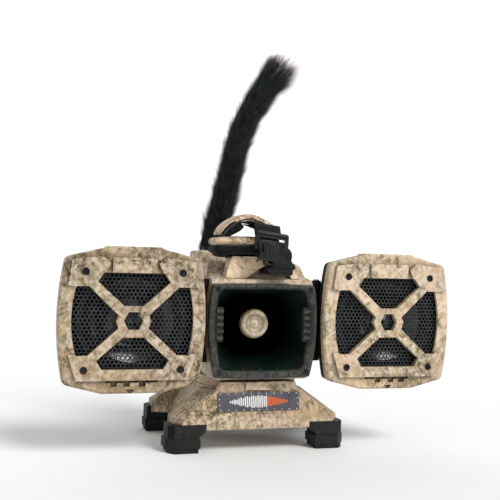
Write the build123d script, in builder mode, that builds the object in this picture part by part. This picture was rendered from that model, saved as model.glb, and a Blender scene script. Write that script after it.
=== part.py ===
from build123d import *
import os
from math import cos, radians, sin

# Electronic game caller, millimetres: a pedestal on four feet, a body with a horn, a speaker
# pod hinged to each side, a carrying strap and a decoy tail on top.
# Frame: origin on the ground under the middle of the whole object, +Z up, the horn mouth
# faces -Y, +X is to the right when looking at the mouth.
# Dimensions are taken from the centre of the four feet; save() shifts each piece by FEET_OFFSET.

# ---------------------------------------------------------------- shared dimensions
FEET_OFFSET = 8.05      # the feet's centre lies this far behind the origin
WALL = 2.5              # moulded wall
RUN = 0.05              # radial running clearance
JOINT_GAP = 0.05        # each half stops this far from its joint line
SIDES = (-1, 1)

# pedestal
BASE_BOTTOM = 22.0
BASE_SHOULDER = 34.0
BASE_TOP = 60.0         # plateau that carries the neck collar
FOOT_HEIGHT = 27.5
FOOT_INNER_Y = 45.0
FOOT_OUTER_Y = 71.6
FOOT_MID_Y = (FOOT_INNER_Y + FOOT_OUTER_Y) / 2
SOCKET_X, SOCKET_Y = 76.0, 60.0
FLOOR_Z = BASE_BOTTOM + 0.2
FLOOR_THICKNESS = 2.4
FLOOR_SCREWS = [(-57, -40), (57, -40), (-57, 35), (57, 35)]

# battery door and cells
DOOR_X = -2.0
DOOR_HINGE_Y, DOOR_HINGE_Z = 45.4, 24.6
DOOR_PIN_R = 1.0
DOOR_PIN_END = 34.0     # the pin spans this far to each side
CELL_R, CELL_LENGTH = 7.2, 49.0
CELL_PITCH = 15.2
CELL_Z = 36.8
CELL_ROWS = (-34.5, 17.5)
TRAY_Z = 28.2

# body
BODY_FRONT, BODY_REAR = -72.4, 58.0
BODY_BOTTOM, BODY_TOP = 72.2, 188.0
BODY_JOINT = -20.0      # joint line between the two housings
NECK_Y = -2.0
# long case screws, symmetric in x
CASE_SCREWS = [(45, 86), (-45, 86), (46, 158), (-46, 158)]

# horn
BEZEL_FRONT = -79.0
BEZEL_BACK = BODY_FRONT - 0.1
HORN_X, HORN_Z = -0.5, 125.6
BEZEL_SCREWS = [(-47.9, 161.4), (47.9, 161.4), (-45.4, 79.5), (45.4, 79.5)]
BEZEL_SEAT_Y = BEZEL_FRONT + 2.2

# rear control panel
PANEL_Z = 125.0
BUTTON_X, JACK_X = -20.0, 20.0
CONTROL_RISE = 6.0      # button and jack above the panel centre
ROCKER_RISE = -2.0
ROCKER_Y, ROCKER_Z = 56.0, PANEL_Z + ROCKER_RISE
ROCKER_PIN_R = 1.2

# strap buckle
BUCKLE_X, BUCKLE_Z = 5.0, 200.6
BUCKLE_TILT = -6.0      # degrees

# decoy tail
TAIL_X, TAIL_Y = -30.0, 21.0
TAIL_SHAFT_R = 2.0
GEAR_MODULE, GEAR_TEETH, PINION_TEETH = 0.8, 24, 10
GEAR_CENTRES = GEAR_MODULE * (GEAR_TEETH + PINION_TEETH) / 2
MOTOR_X = TAIL_X + GEAR_CENTRES
MOTOR_SHAFT_R = 1.0
MOTOR_PLATE_Z = 172.4

# speaker pods and their hinges
POD_X, POD_Z = 131.9, 130.6
POD_RIM_Y = -85.0       # front plane of the rim
POD_FACE_Y = -88.0      # front plane of the raised guard
POD_SPLIT_Y = -75.5     # joint between cover and rear shell
POD_BAND_Y = -66.0      # the rear shell runs straight back to here, then tapers
POD_BACK_Y = -46.0
POD_SCREW_X, POD_SCREW_Z = 45.9, 46.0
POD_SCREWS = [(sx * POD_SCREW_X, sz * POD_SCREW_Z) for sz in (1, -1) for sx in SIDES]
POD_SEAT_Y = POD_FACE_Y + 3.4
HINGE_X, HINGE_Y = 66.0, -49.0
HINGE_BOTTOM, HINGE_TOP = 88.0, 171.0
HINGE_R = 5.0
HINGE_PIN_R = 2.0
BRACKET_KNUCKLE = 12.0  # height of each bracket knuckle
KNUCKLE_GAP = 0.3


# ---------------------------------------------------------------- helpers
def front(x=0, y=0, z=0):
    """Sketch plane that faces the front: local x = +X, local y = +Z."""
    return Plane(origin=(x, y, z), x_dir=(1, 0, 0), z_dir=(0, -1, 0))


def rear(x=0, y=0, z=0):
    """Sketch plane that faces the rear: local x = -X, local y = +Z."""
    return Plane(origin=(x, y, z), x_dir=(-1, 0, 0), z_dir=(0, 1, 0))


def side(x=0, y=0, z=0):
    """Sketch plane that faces +X: local x = +Y, local y = +Z."""
    return Plane(origin=(x, y, z), x_dir=(0, 1, 0), z_dir=(1, 0, 0))


def level(z=0, x=0, y=0):
    """Sketch plane that faces up: local x = +X, local y = +Y."""
    return Plane(origin=(x, y, z), x_dir=(1, 0, 0), z_dir=(0, 0, 1))


def pod(y):
    """Front-facing plane centred on the left pod."""
    return front(-POD_X, y, POD_Z)


def flipped(points, sx):
    """The points as they are for sx = 1, mirrored in x for sx = -1."""
    return [(sx * x, y) for x, y in points]


def both_sides(right):
    """Closed outline from its right half, starting at the mirror image of the first point."""
    left = flipped(right, -1)
    return left[:1] + right + left[:0:-1]


def between(start, end, share):
    return [a + (b - a) * share for a, b in zip(start, end)]


def add_offset(sketch, amount):
    """Add a sketch to the open one and offset it."""
    add(sketch)
    offset(amount=amount, mode=Mode.REPLACE)


def cross(length, width):
    """Cross slot of a screw head, drawn in the open sketch."""
    Rectangle(length, width)
    Rectangle(width, length)


def turned(x, z, profile):
    """Turn a profile of (y, radius) points about the line along Y through (x, z)."""
    with BuildPart() as piece:
        with BuildSketch(side(x, 0, z)):
            with BuildLine():
                Polyline(*profile, close=True)
            make_face()
        revolve(axis=Axis((x, 0, z), (0, 1, 0)))
    return piece.part


def save(part, name):
    """Label a piece, move it into the object's frame and write it."""
    placed = part.moved(Location((0, FEET_OFFSET, 0)))
    placed.label = name
    export_step(placed, "parts/" + name + ".step")


def save_pair(part, name):
    """Write the left piece and its mirror image on the right."""
    save(part, name + "_left")
    with BuildPart() as twin:
        add(part)
        mirror(about=Plane.YZ, mode=Mode.REPLACE)
    save(twin.part, name + "_right")


# ================================================================ pedestal
# Right half of each outline, (x, y) from front to rear; the sides are drawn in between the feet.
RIM_RIGHT = [(79, -71), (87, -60), (87, -41.5), (67, -31.5),
             (67, 31.5), (87, 41.5), (87, 60), (79, 71)]
TOP_RIGHT = [(43, -66), (52, -44), (52, -36), (50.5, -28),
             (50.5, 24), (52, 32), (52, 40), (43, 58)]
INNER_RIM_RIGHT = [(77, -68.5), (84.4, -58.6), (84.4, -43.1), (64.4, -33.1),
                   (64.4, 33.1), (84.4, 43.1), (84.4, 58.6), (77, 68.5)]
INNER_TOP_RIGHT = [(40, -63), (48.5, -42), (48.5, -34.6), (47, -26.6),
                   (47, 22.6), (48.5, 30.6), (48.5, 38), (40, 55)]


def base_shell():
    rim, inner_rim = both_sides(RIM_RIGHT), both_sides(INNER_RIM_RIGHT)
    with BuildPart() as piece:
        with BuildSketch(level(BASE_BOTTOM)):
            with BuildLine():
                Polyline(*rim, close=True)
            make_face()
        extrude(amount=BASE_SHOULDER - BASE_BOTTOM)
        for z, outline in ((BASE_SHOULDER, rim), (BASE_TOP, both_sides(TOP_RIGHT))):
            with BuildSketch(level(z)):
                with BuildLine():
                    Polyline(*outline, close=True)
                make_face()
        loft(ruled=True)
        # brow in front of the collar, under the bezel
        with BuildSketch(front(y=-56.5)):
            with BuildLine():
                Polyline((-43, 59.9), (43, 59.9), (38.5, 68.5), (-38.5, 68.5), close=True)
            make_face()
        extrude(amount=9.4)
        # block in the middle of the brow
        with BuildSketch(front(-1, -60)):
            Polygon((-13.2, 60.5), (13.2, 60.5), (12.4, 68.5), (-12.4, 68.5), align=None)
        extrude(amount=8.4)
        # raised ridges down the corner facets, front then rear on each side
        for sx in SIDES:
            for corner, flank in ((0, 1), (-1, -2)):
                for share in (0.2, 0.5, 0.8):
                    low_x, low_y = between(RIM_RIGHT[corner], RIM_RIGHT[flank], share)
                    high_x, high_y = between(TOP_RIGHT[corner], TOP_RIGHT[flank], share)
                    low_end = Vector(sx * low_x, low_y, BASE_SHOULDER - 0.4)
                    ridge = Vector(sx * high_x, high_y, BASE_TOP - 1.5) - low_end
                    with BuildSketch(Plane(origin=low_end, z_dir=ridge)):
                        Circle(1.0)
                    extrude(amount=ridge.length)
        # hollow inside
        with BuildSketch(level(BASE_BOTTOM - 1)):
            with BuildLine():
                Polyline(*inner_rim, close=True)
            make_face()
        extrude(amount=BASE_SHOULDER - BASE_BOTTOM + 1, mode=Mode.SUBTRACT)
        for z, outline in ((BASE_SHOULDER, inner_rim),
                           (BASE_TOP - WALL, both_sides(INNER_TOP_RIGHT))):
            with BuildSketch(level(z)):
                with BuildLine():
                    Polyline(*outline, close=True)
                make_face()
        loft(ruled=True, mode=Mode.SUBTRACT)
        # sockets for the four feet
        for sx in SIDES:
            for sy in SIDES:
                with BuildSketch(level(BASE_BOTTOM - 2, sx * SOCKET_X, sy * SOCKET_Y)):
                    Rectangle(44.0, 32.2)
                extrude(amount=FOOT_HEIGHT + 0.3 - BASE_BOTTOM + 2, mode=Mode.SUBTRACT)
        # notch for the snap tab of the battery door
        with BuildSketch(front(y=-60)):
            with BuildLine():
                Polyline((-43.9, 20), (-43.9, 35.2), (-41.4, 38.9), (-29.2, 38.9),
                         (-26.7, 35.2), (-22.4, 22.4), (-22.4, 20), close=True)
            make_face()
        extrude(amount=14, mode=Mode.SUBTRACT)
        # cable passage up into the neck
        with BuildSketch(level(50, y=-4)):
            Circle(14)
        extrude(amount=12, mode=Mode.SUBTRACT)
        # four bosses take the floor screws
        with BuildSketch(level(24.8)):
            with Locations(*FLOOR_SCREWS):
                Circle(3.6)
        extrude(amount=25.7)
        with BuildSketch(level(24.0)):
            with Locations(*FLOOR_SCREWS):
                Circle(1.45)
        extrude(amount=14, mode=Mode.SUBTRACT)
    return piece.part


def base_floor():
    waist = [(90, -44), (72, -44), (63.9, -33.4), (63.9, 33.4), (72, 44), (90, 44)]
    with BuildPart() as piece:
        with BuildSketch(level(FLOOR_Z)):
            Rectangle(167.8, 136.0)
            with Locations(*[(sx * SOCKET_X, sy * SOCKET_Y) for sy in SIDES for sx in SIDES]):
                Rectangle(44.2, 32.6, mode=Mode.SUBTRACT)
            with Locations((-33.2, -66)):
                Rectangle(23, 8, mode=Mode.SUBTRACT)
            for sx in SIDES:
                Polygon(*flipped(waist, sx), align=None, mode=Mode.SUBTRACT)
            # opening of the battery door and the notches of its knuckles
            with Locations((DOOR_X, -9.9)):
                Rectangle(96.8, 105.0, mode=Mode.SUBTRACT)
            with Locations((-20, 45), (20, 45)):
                Rectangle(20.6, 7.2, mode=Mode.SUBTRACT)
            with Locations(*FLOOR_SCREWS):
                Circle(1.6, mode=Mode.SUBTRACT)
        extrude(amount=FLOOR_THICKNESS)
        # ears that hold the hinge pin
        for x0, x1 in ((-DOOR_PIN_END, -30.3), (-9.7, 9.7), (30.3, DOOR_PIN_END)):
            with BuildSketch(side(x0)):
                with BuildLine():
                    Polyline((43.0, 22.4), (49.0, 22.4), (49.0, 26.0), (47.6, 27.4),
                             (43.0, 27.4), close=True)
                make_face()
            extrude(amount=x1 - x0)
        with BuildSketch(side(-36, DOOR_HINGE_Y, DOOR_HINGE_Z)):
            Circle(DOOR_PIN_R + 0.02)
        extrude(amount=72, mode=Mode.SUBTRACT)
    return piece.part


def battery_door():
    with BuildPart() as piece:
        with BuildSketch(level(FLOOR_Z)):
            with Locations((DOOR_X, -10.5)):
                Rectangle(96.0, 103.0)
            with Locations((-33.5, -65)):
                Rectangle(20.0, 12.0)
        extrude(amount=FLOOR_THICKNESS)
        # finger ribs on the outside
        with BuildSketch(level(BASE_BOTTOM - 0.6, DOOR_X, -40)):
            with GridLocations(0, 4, 1, 5):
                Rectangle(34, 1.4)
        extrude(amount=1.0)
        # snap tab that comes up the front wall
        with BuildSketch(front(y=-68.8)):
            with BuildLine():
                Polyline((-43.5, 22.2), (-43.5, 35), (-41.2, 38.5), (-29.4, 38.5),
                         (-27.1, 35), (-22.8, 22.2), close=True)
            make_face()
        extrude(amount=2.2)
        # knuckles
        for x0 in (-30.0, 10.0):
            with BuildSketch(side(x0)):
                with BuildLine():
                    Polyline((39.0, FLOOR_Z), (DOOR_HINGE_Y, FLOOR_Z),
                             (DOOR_HINGE_Y, DOOR_HINGE_Z), (39.0, DOOR_HINGE_Z), close=True)
                make_face()
                with Locations((DOOR_HINGE_Y, DOOR_HINGE_Z)):
                    Circle(2.4)
            extrude(amount=20)
        with BuildSketch(side(-36, DOOR_HINGE_Y, DOOR_HINGE_Z)):
            Circle(DOOR_PIN_R + RUN)
        extrude(amount=72, mode=Mode.SUBTRACT)
    return piece.part


def battery_door_pin():
    with BuildPart() as piece:
        with BuildSketch(side(-DOOR_PIN_END, DOOR_HINGE_Y, DOOR_HINGE_Z)):
            Circle(DOOR_PIN_R)
        extrude(amount=2 * DOOR_PIN_END)
    return piece.part


def battery_cells():
    """Two rows of five cells, each with a raised contact at its front end."""
    with BuildPart() as piece:
        for column in range(-2, 3):
            for row_y in CELL_ROWS:
                cell_x = column * CELL_PITCH
                with BuildSketch(front(cell_x, row_y + CELL_LENGTH / 2, CELL_Z)):
                    Circle(CELL_R)
                extrude(amount=CELL_LENGTH)
                with BuildSketch(front(cell_x, row_y - CELL_LENGTH / 2, CELL_Z)):
                    Circle(2.7)
                extrude(amount=0.8)
    return piece.part


def battery_tray():
    with BuildPart() as piece:
        with BuildSketch(level(TRAY_Z, y=sum(CELL_ROWS) / 2)):
            Rectangle(82, 108)
        extrude(amount=18)
        with BuildSketch(level(TRAY_Z)):
            with Locations(*[(0, row_y) for row_y in CELL_ROWS]):
                Rectangle(78.4, 50.9)
        extrude(amount=16.4, mode=Mode.SUBTRACT)
    return piece.part


def foot(sx, sy):
    """The foot on side sx (-1 left, 1 right) and end sy (-1 front, 1 rear)."""
    profile = [(61.8, 0), (91.2, 0), (91.7, 1.0), (91.7, FOOT_HEIGHT), (54.7, FOOT_HEIGHT),
               (54.7, 21.0), (61.6, 15.0)]      # (x, z)
    corner_cut = [(84.2, 74), (96, 74), (96, 60.5), (93.75, 62.5)]      # (x, y)
    with BuildPart() as piece:
        with BuildSketch(front(y=-FOOT_INNER_Y if sy < 0 else FOOT_OUTER_Y)):
            with BuildLine():
                Polyline(*flipped(profile, sx), close=True)
            make_face()
        extrude(amount=FOOT_OUTER_Y - FOOT_INNER_Y)
        # ledge band around the lower part
        with BuildSketch(level(4.6, sx * 76.9, sy * FOOT_MID_Y)):
            Rectangle(33.6, 28.8)
        extrude(amount=9.0)
        # the outer corner is cut back
        with BuildSketch(level()):
            with BuildLine():
                Polyline(*[(sx * x, sy * y) for x, y in corner_cut], close=True)
            make_face()
        extrude(amount=30, mode=Mode.SUBTRACT)
        # slots between the corner ribs
        for share in (0.24, 0.5, 0.76):
            slot_x, slot_y = sx * (85.3 + share * 6.4), sy * (FOOT_OUTER_Y - share * 7.8)
            with BuildSketch(Plane(origin=(slot_x, slot_y, 15.0),
                                   x_dir=(sx * 0.64, -sy * 0.77, 0), z_dir=(0, 0, 1))):
                Rectangle(1.1, 3.0)
            extrude(amount=14, mode=Mode.SUBTRACT)
        # shallow recess under the sole
        with BuildSketch(level(0, sx * 76.5, sy * FOOT_MID_Y)):
            Rectangle(18, 14)
        extrude(amount=1.5, mode=Mode.SUBTRACT)
    return piece.part


def name_plate():
    lean = radians(10.9)        # lean of the front wall
    thickness = 0.8
    plane = Plane(origin=(0, -68.38, 49.0), x_dir=(1, 0, 0), z_dir=(0, -cos(lean), sin(lean)))
    with BuildPart() as piece:
        with BuildSketch(plane):
            RectangleRounded(85.4, 18.0, 0.8)
        extrude(amount=thickness)
        # rivet heads along the upper and lower borders
        with BuildSketch(plane.offset(thickness)):
            with GridLocations(8.0, 15.4, 11, 2):
                Circle(0.45)
        extrude(amount=0.25)
    return piece.part


def neck_collar():
    bottom = BASE_TOP + 0.1
    with BuildPart() as piece:
        with BuildSketch(level(bottom, y=NECK_Y)):
            RectangleRounded(102, 104, 26)
            RectangleRounded(94, 96, 22, mode=Mode.SUBTRACT)
        extrude(amount=72.0 - bottom)
        # bead around the foot of the collar
        with BuildSketch(level(bottom, y=NECK_Y)):
            RectangleRounded(104.4, 106.4, 27)
            RectangleRounded(100, 102, 25, mode=Mode.SUBTRACT)
        extrude(amount=2.4)
    return piece.part


# ================================================================ body
def body_outline():
    """Front view of the body, (x, z)."""
    with BuildSketch() as outline:
        with BuildLine():
            Polyline((-48.0, BODY_BOTTOM), (48.0, BODY_BOTTOM), (50.2, 76.0))
            ThreePointArc((50.2, 76.0), (56.2, 122.0), (53.6, 165.0))
            Polyline((53.6, 165.0), (50.0, BODY_TOP), (-50.0, BODY_TOP), (-53.6, 165.0))
            ThreePointArc((-53.6, 165.0), (-56.2, 122.0), (-50.2, 76.0))
            Line((-50.2, 76.0), (-48.0, BODY_BOTTOM))
        make_face()
        fillet(outline.vertices().filter_by(lambda v: v.Y > BODY_TOP - 1), 7)
    return outline.sketch


BODY_OUTLINE = body_outline()
# Side views of the body and of its hollow, (y, z).
OUTER_PROFILE = [(BODY_FRONT, BODY_BOTTOM), (BODY_FRONT, 168), (-70, 171.5), (-51, 174.5),
                 (-38, BODY_TOP), (44, BODY_TOP), (BODY_REAR, 172), (BODY_REAR, 84),
                 (48, BODY_BOTTOM)]
INNER_PROFILE = [(BODY_FRONT + WALL, BODY_BOTTOM + WALL), (BODY_FRONT + WALL, 168.2),
                 (-52, 171.6), (-39, BODY_TOP - WALL), (43, BODY_TOP - WALL),
                 (BODY_REAR - WALL, 171), (BODY_REAR - WALL, 85), (47, BODY_BOTTOM + WALL)]


def body_block(profile, inset):
    """The body outline, drawn in by inset and run front to rear, cut to a side profile."""
    with BuildPart() as block:
        with BuildSketch(front(y=BODY_REAR - inset)):
            add(BODY_OUTLINE)
            if inset:
                offset(amount=-inset, mode=Mode.REPLACE)
        extrude(amount=BODY_REAR - BODY_FRONT - 2 * inset)
        with BuildSketch(side(-70)):
            with BuildLine():
                Polyline(*profile, close=True)
            make_face()
        extrude(amount=140, mode=Mode.INTERSECT)
    return block.part


BODY_OUTER = body_block(OUTER_PROFILE, 0)
BODY_INNER = body_block(INNER_PROFILE, WALL)


def front_housing():
    with BuildPart() as piece:
        add(BODY_OUTER)
        add(BODY_INNER, mode=Mode.SUBTRACT)
        split(bisect_by=Plane.XZ.offset(-BODY_JOINT + JOINT_GAP), keep=Keep.TOP)
        # opening of the horn mouth
        with BuildSketch(front(HORN_X, -60, 121.1)):
            RectangleRounded(101.2, 87.6, 10)
        extrude(amount=20, mode=Mode.SUBTRACT)
        # cable hole down into the neck
        with BuildSketch(level(70, y=-34)):
            Circle(8)
        extrude(amount=6, mode=Mode.SUBTRACT)
        # recessed slots on both shoulders of the top
        with BuildSketch(level(BODY_TOP - 1.4)):
            with Locations((-42, -29), (42, -29)):
                RectangleRounded(13, 6, 2)
        extrude(amount=4, mode=Mode.SUBTRACT)
    return piece.part


def rear_housing():
    with BuildPart() as piece:
        add(BODY_OUTER)
        add(BODY_INNER, mode=Mode.SUBTRACT)
        split(bisect_by=Plane.XZ.offset(-BODY_JOINT - JOINT_GAP), keep=Keep.BOTTOM)
        # bosses of the long screws
        with BuildSketch(rear(y=BODY_JOINT + 0.1)):
            with Locations(*CASE_SCREWS):
                Circle(3.4)
        extrude(amount=BODY_REAR - BODY_JOINT - 1.0)
        with BuildSketch(rear(y=BODY_JOINT - 1)):
            with Locations(*CASE_SCREWS):
                Circle(1.5)
        extrude(amount=BODY_REAR - BODY_JOINT + 4, mode=Mode.SUBTRACT)
        with BuildSketch(rear(y=BODY_REAR - 2.2)):
            with Locations(*CASE_SCREWS):
                Circle(3.0)
        extrude(amount=6, mode=Mode.SUBTRACT)
        # window behind the control panel
        with BuildSketch(rear(0, 50, PANEL_Z)):
            Rectangle(60, 46)
        extrude(amount=12, mode=Mode.SUBTRACT)
        # holes for the tail shaft and its cable
        with BuildSketch(level(180, TAIL_X, TAIL_Y)):
            Circle(4)
        extrude(amount=12, mode=Mode.SUBTRACT)
        with BuildSketch(level(70, y=4)):
            Circle(8)
        extrude(amount=6, mode=Mode.SUBTRACT)
        # cooling louvres low in the rear wall
        with BuildSketch(side(-30)):
            with Locations((BODY_REAR - 1, 94.5), (BODY_REAR - 1, 90.5)):
                Rectangle(7, 1.6)
        extrude(amount=60, mode=Mode.SUBTRACT)
    return piece.part


def case_screws():
    shank_r, head_r = 1.4, 2.8
    head_y = 56.0
    with BuildPart() as piece:
        # long screws through the rear housing
        with BuildSketch(rear()):
            with Locations(*CASE_SCREWS):
                Circle(shank_r)
        extrude(amount=head_y)
        with BuildSketch(rear(y=head_y)):
            with Locations(*CASE_SCREWS):
                Circle(head_r)
        extrude(amount=1.8)
        with BuildSketch(rear(y=head_y + 0.8)):
            with Locations(*CASE_SCREWS):
                cross(3.2, 0.7)
        extrude(amount=3, mode=Mode.SUBTRACT)
        # floor screws
        for z, radius, height in ((BASE_BOTTOM, shank_r, 14), (20.4, head_r, 1.7)):
            with BuildSketch(level(z)):
                with Locations(*FLOOR_SCREWS):
                    Circle(radius)
            extrude(amount=height)
    return piece.part


# ================================================================ horn
def bulged_outline(bottom, bottom_mid_z, bulge, top, top_mid_z, corner_r):
    """Front view, (x, z): bottom, bulge and top are right-hand points, mirrored to the left."""
    left_bottom, left_bulge, left_top = flipped((bottom, bulge, top), -1)
    with BuildSketch() as outline:
        with BuildLine():
            Polyline(left_bottom, (0, bottom_mid_z), bottom)
            ThreePointArc(bottom, bulge, top)
            Polyline(top, (0, top_mid_z), left_top)
            ThreePointArc(left_top, left_bulge, left_bottom)
        make_face()
        fillet(outline.vertices().filter_by(lambda v: abs(v.X) > 40), corner_r)
    return outline.sketch


BEZEL_OUTLINE = bulged_outline((49.7, 74.5), 73.2, (56.5, 124.0), (53.2, 166.6), 168.0, 3.0)
MOUTH_OUTLINE = bulged_outline((43.0, 81.5), 80.2, (48.0, 122.0), (46.0, 161.4), 162.6, 8.0)


def horn_bezel():
    with BuildPart() as piece:
        with BuildSketch(front(y=BEZEL_BACK)):
            add(BEZEL_OUTLINE)
        extrude(amount=BEZEL_BACK - BEZEL_FRONT)
        chamfer(piece.faces().sort_by(Axis.Y)[0].edges(), 1.2)
        # mouth opening with rounded corners and a sloped lip
        with BuildSketch(front(HORN_X, -60)):
            add(MOUTH_OUTLINE)
        extrude(amount=30, mode=Mode.SUBTRACT)
        chamfer(piece.faces().sort_by(Axis.Y)[0].inner_wires()[0].edges(), 2.0)
        # finger pads with five ribs on both sides
        for sx in SIDES:
            with BuildSketch(front(sx * 46.6, BODY_FRONT - 0.2, 127.0)):
                RectangleRounded(9.0, 34.0, 1.5)
            extrude(amount=5.4)
            with BuildSketch(front(sx * 45.4, BODY_FRONT - 5.4, 127.0)):
                with GridLocations(0, 6.6, 1, 5):
                    RectangleRounded(7.0, 3.2, 1.0)
            extrude(amount=1.6)
        # grooves that divide the lower and upper bars
        with BuildSketch(front(y=BEZEL_FRONT + 0.7)):
            with Locations(*[(x, 77.2) for x in (-16.4, 5.6, 27.0, -37.0)]):
                Rectangle(0.9, 9)
            with Locations(*[(x, 165.2) for x in (-20, -9, 13, 24)]):
                Rectangle(0.9, 6.5)
        extrude(amount=3, mode=Mode.SUBTRACT)
        # screw seats and holes
        for y, radius, depth in ((BEZEL_SEAT_Y, 2.9, 4), (BODY_FRONT + 4, 1.3, 14)):
            with BuildSketch(front(y=y)):
                with Locations(*BEZEL_SCREWS):
                    Circle(radius)
            extrude(amount=depth, mode=Mode.SUBTRACT)
    return piece.part


def horn_bezel_screws():
    with BuildPart() as piece:
        with BuildSketch(front(y=BEZEL_SEAT_Y)):
            with Locations(*BEZEL_SCREWS):
                Circle(2.5)
        extrude(amount=1.5)
        with BuildSketch(front(y=BEZEL_FRONT + 1.5)):
            with Locations(*BEZEL_SCREWS):
                cross(3.0, 0.7)
        extrude(amount=3, mode=Mode.SUBTRACT)
        with BuildSketch(front(y=BEZEL_FRONT + 5.9)):
            with Locations(*BEZEL_SCREWS):
                Circle(1.1)
        extrude(amount=3.8)
    return piece.part


# Sections of the bell from the square mouth to the round back: y, centre z, width, height,
# corner radius.
BELL_OUTER = [(BODY_FRONT, 121.5, 100.4, 86.0, 11.0),
              (-45, 123.6, 78.4, 68.4, 24),
              (-9.6, HORN_Z, 58.4, 58.4, 29.1)]
BELL_INNER = [(BODY_FRONT, 121.5, 96.0, 81.6, 9.0),
              (-45, 123.6, 74.0, 64.0, 22),
              (-12, HORN_Z, 54.0, 54.0, 26.9)]


def horn_bell():
    with BuildPart() as piece:
        for sections, mode in ((BELL_OUTER, Mode.ADD), (BELL_INNER, Mode.SUBTRACT)):
            for y, z, width, height, corner_r in sections:
                with BuildSketch(front(HORN_X, y, z)):
                    RectangleRounded(width, height, corner_r)
            loft(mode=mode)
        with BuildSketch(front(HORN_X, -5, HORN_Z)):
            Circle(8.6)
        extrude(amount=12, mode=Mode.SUBTRACT)
        # three small bumps on the floor of the mouth
        with BuildSketch(front(HORN_X, -68)):
            with Locations((-18, 81.6), (0, 81.6), (18, 81.6)):
                Circle(1.8)
        extrude(amount=3)
    return piece.part


def horn_reflector():
    cup = turned(HORN_X, HORN_Z, [
        (-49.4, 0), (-49.0, 2.0), (-48.2, 4.6), (-48.8, 7.2), (-50.3, 9.6), (-51.0, 11.2),
        (-50.6, 12.8), (-49.2, 14.2), (-46.8, 15.2), (-44.0, 15.35), (-41.0, 14.9),
        (-37.0, 14.2), (-30.0, 13.4), (-20, 12.9), (-20, 11.4), (-30.0, 11.9),
        (-40.0, 12.9), (-45.6, 13.0), (-45.8, 0)])
    with BuildPart() as piece:
        add(cup)
        # three legs at the rear
        with BuildSketch(front(HORN_X, -12.05, HORN_Z)):
            with PolarLocations(12.15, 3, start_angle=90):
                Rectangle(1.3, 5)
        extrude(amount=8.1)
    return piece.part


def throat_tube():
    return turned(HORN_X, HORN_Z, [
        (-42, 11.0), (-9.5, 8.4), (-9.5, 20), (-6.6, 20), (-6.6, 6.0), (-12, 6.0), (-42, 9.6)])


def driver_cap():
    return turned(HORN_X, HORN_Z, [
        (-6.5, 6.2), (-6.5, 25), (-4.5, 28), (2.0, 28), (2.0, 24), (-3.5, 22), (-3.5, 6.2)])


def driver_diaphragm():
    return turned(HORN_X, HORN_Z, [
        (-1.4, 0), (-0.8, 12), (0.6, 16), (1.4, 21.4), (1.9, 21.4), (1.2, 15.6),
        (-0.2, 11.8), (-0.8, 0)])


def driver_magnet():
    return turned(HORN_X, HORN_Z, [
        (2.1, 17), (2.1, 28.5), (4.6, 28.5), (4.6, 27), (18, 27), (18, 28.5), (20.5, 28.5),
        (20.5, 0), (2.1, 0), (2.1, 15.4), (10, 15.4), (10, 17)])


# ================================================================ electronics
def amplifier_board():
    board_y, thickness, board_z = 30, 1.6, 122
    face = rear(0, board_y + thickness, board_z)
    with BuildPart() as piece:
        with BuildSketch(rear(0, board_y, board_z)):
            Rectangle(76, 74)
        extrude(amount=thickness)
        # three cylindrical components
        with BuildSketch(face):
            with Locations((-24, 24), (-10, 24), (-24, -24)):
                Circle(5)
        extrude(amount=10)
        # seven fins on a low block, beside a small square block
        with BuildSketch(face):
            with GridLocations(4, 0, 7, 1):
                with Locations((16, -20)):
                    Rectangle(1.6, 24)
        extrude(amount=12)
        with BuildSketch(face):
            with Locations((16, -20)):
                Rectangle(30, 28)
            with Locations((14, 18)):
                Rectangle(14, 14)
        extrude(amount=3)
    return piece.part


def receiver_board():
    plane = rear(0, 46, 130)
    with BuildPart() as piece:
        with BuildSketch(plane):
            Rectangle(56, 28)
        extrude(amount=1.6)
        # block on the front of the board
        with BuildSketch(plane):
            with Locations((-20, 4)):
                Rectangle(12, 14)
        extrude(amount=-2.2)
        # aerial, as a plain rod
        with BuildSketch(level(144, 22, 46.8)):
            Circle(1.6)
        extrude(amount=26)
    return piece.part


def control_panel():
    with BuildPart() as piece:
        with BuildSketch(rear(0, BODY_REAR + 0.1, PANEL_Z)):
            RectangleRounded(70, 56, 4)
        extrude(amount=2.4)
        # frame that enters the window of the housing
        with BuildSketch(rear(0, BODY_REAR - 4, PANEL_Z)):
            Rectangle(59, 45)
            Rectangle(55, 41, mode=Mode.SUBTRACT)
        extrude(amount=4.1)
        # ears of the volume rocker behind the slot
        with BuildSketch(rear(0, 53.4, PANEL_Z)):
            with Locations((-7.6, ROCKER_RISE), (7.6, ROCKER_RISE)):
                Rectangle(2.4, 7)
        extrude(amount=4.8)
        with BuildSketch(side(-10, ROCKER_Y, ROCKER_Z)):
            Circle(ROCKER_PIN_R + RUN)
        extrude(amount=20, mode=Mode.SUBTRACT)
        # openings for the rocker, the button and the jack
        with BuildSketch(rear(0, 50, PANEL_Z)):
            with Locations((0, ROCKER_RISE)):
                Rectangle(11.4, 25)
            with Locations((-BUTTON_X, CONTROL_RISE)):
                Circle(6.0)
            with Locations((-JACK_X, CONTROL_RISE)):
                Circle(4.2)
        extrude(amount=14, mode=Mode.SUBTRACT)
    return piece.part


def power_button():
    with BuildPart() as piece:
        with BuildSketch(rear(BUTTON_X, 53.5, PANEL_Z + CONTROL_RISE)):
            Circle(5.92)
        extrude(amount=9.2)
        chamfer(piece.faces().sort_by(Axis.Y)[-1].edges(), 0.8)
        with BuildSketch(rear(BUTTON_X, 50.0, PANEL_Z + CONTROL_RISE)):
            Circle(2.0)
        extrude(amount=3.5)
    return piece.part


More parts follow.
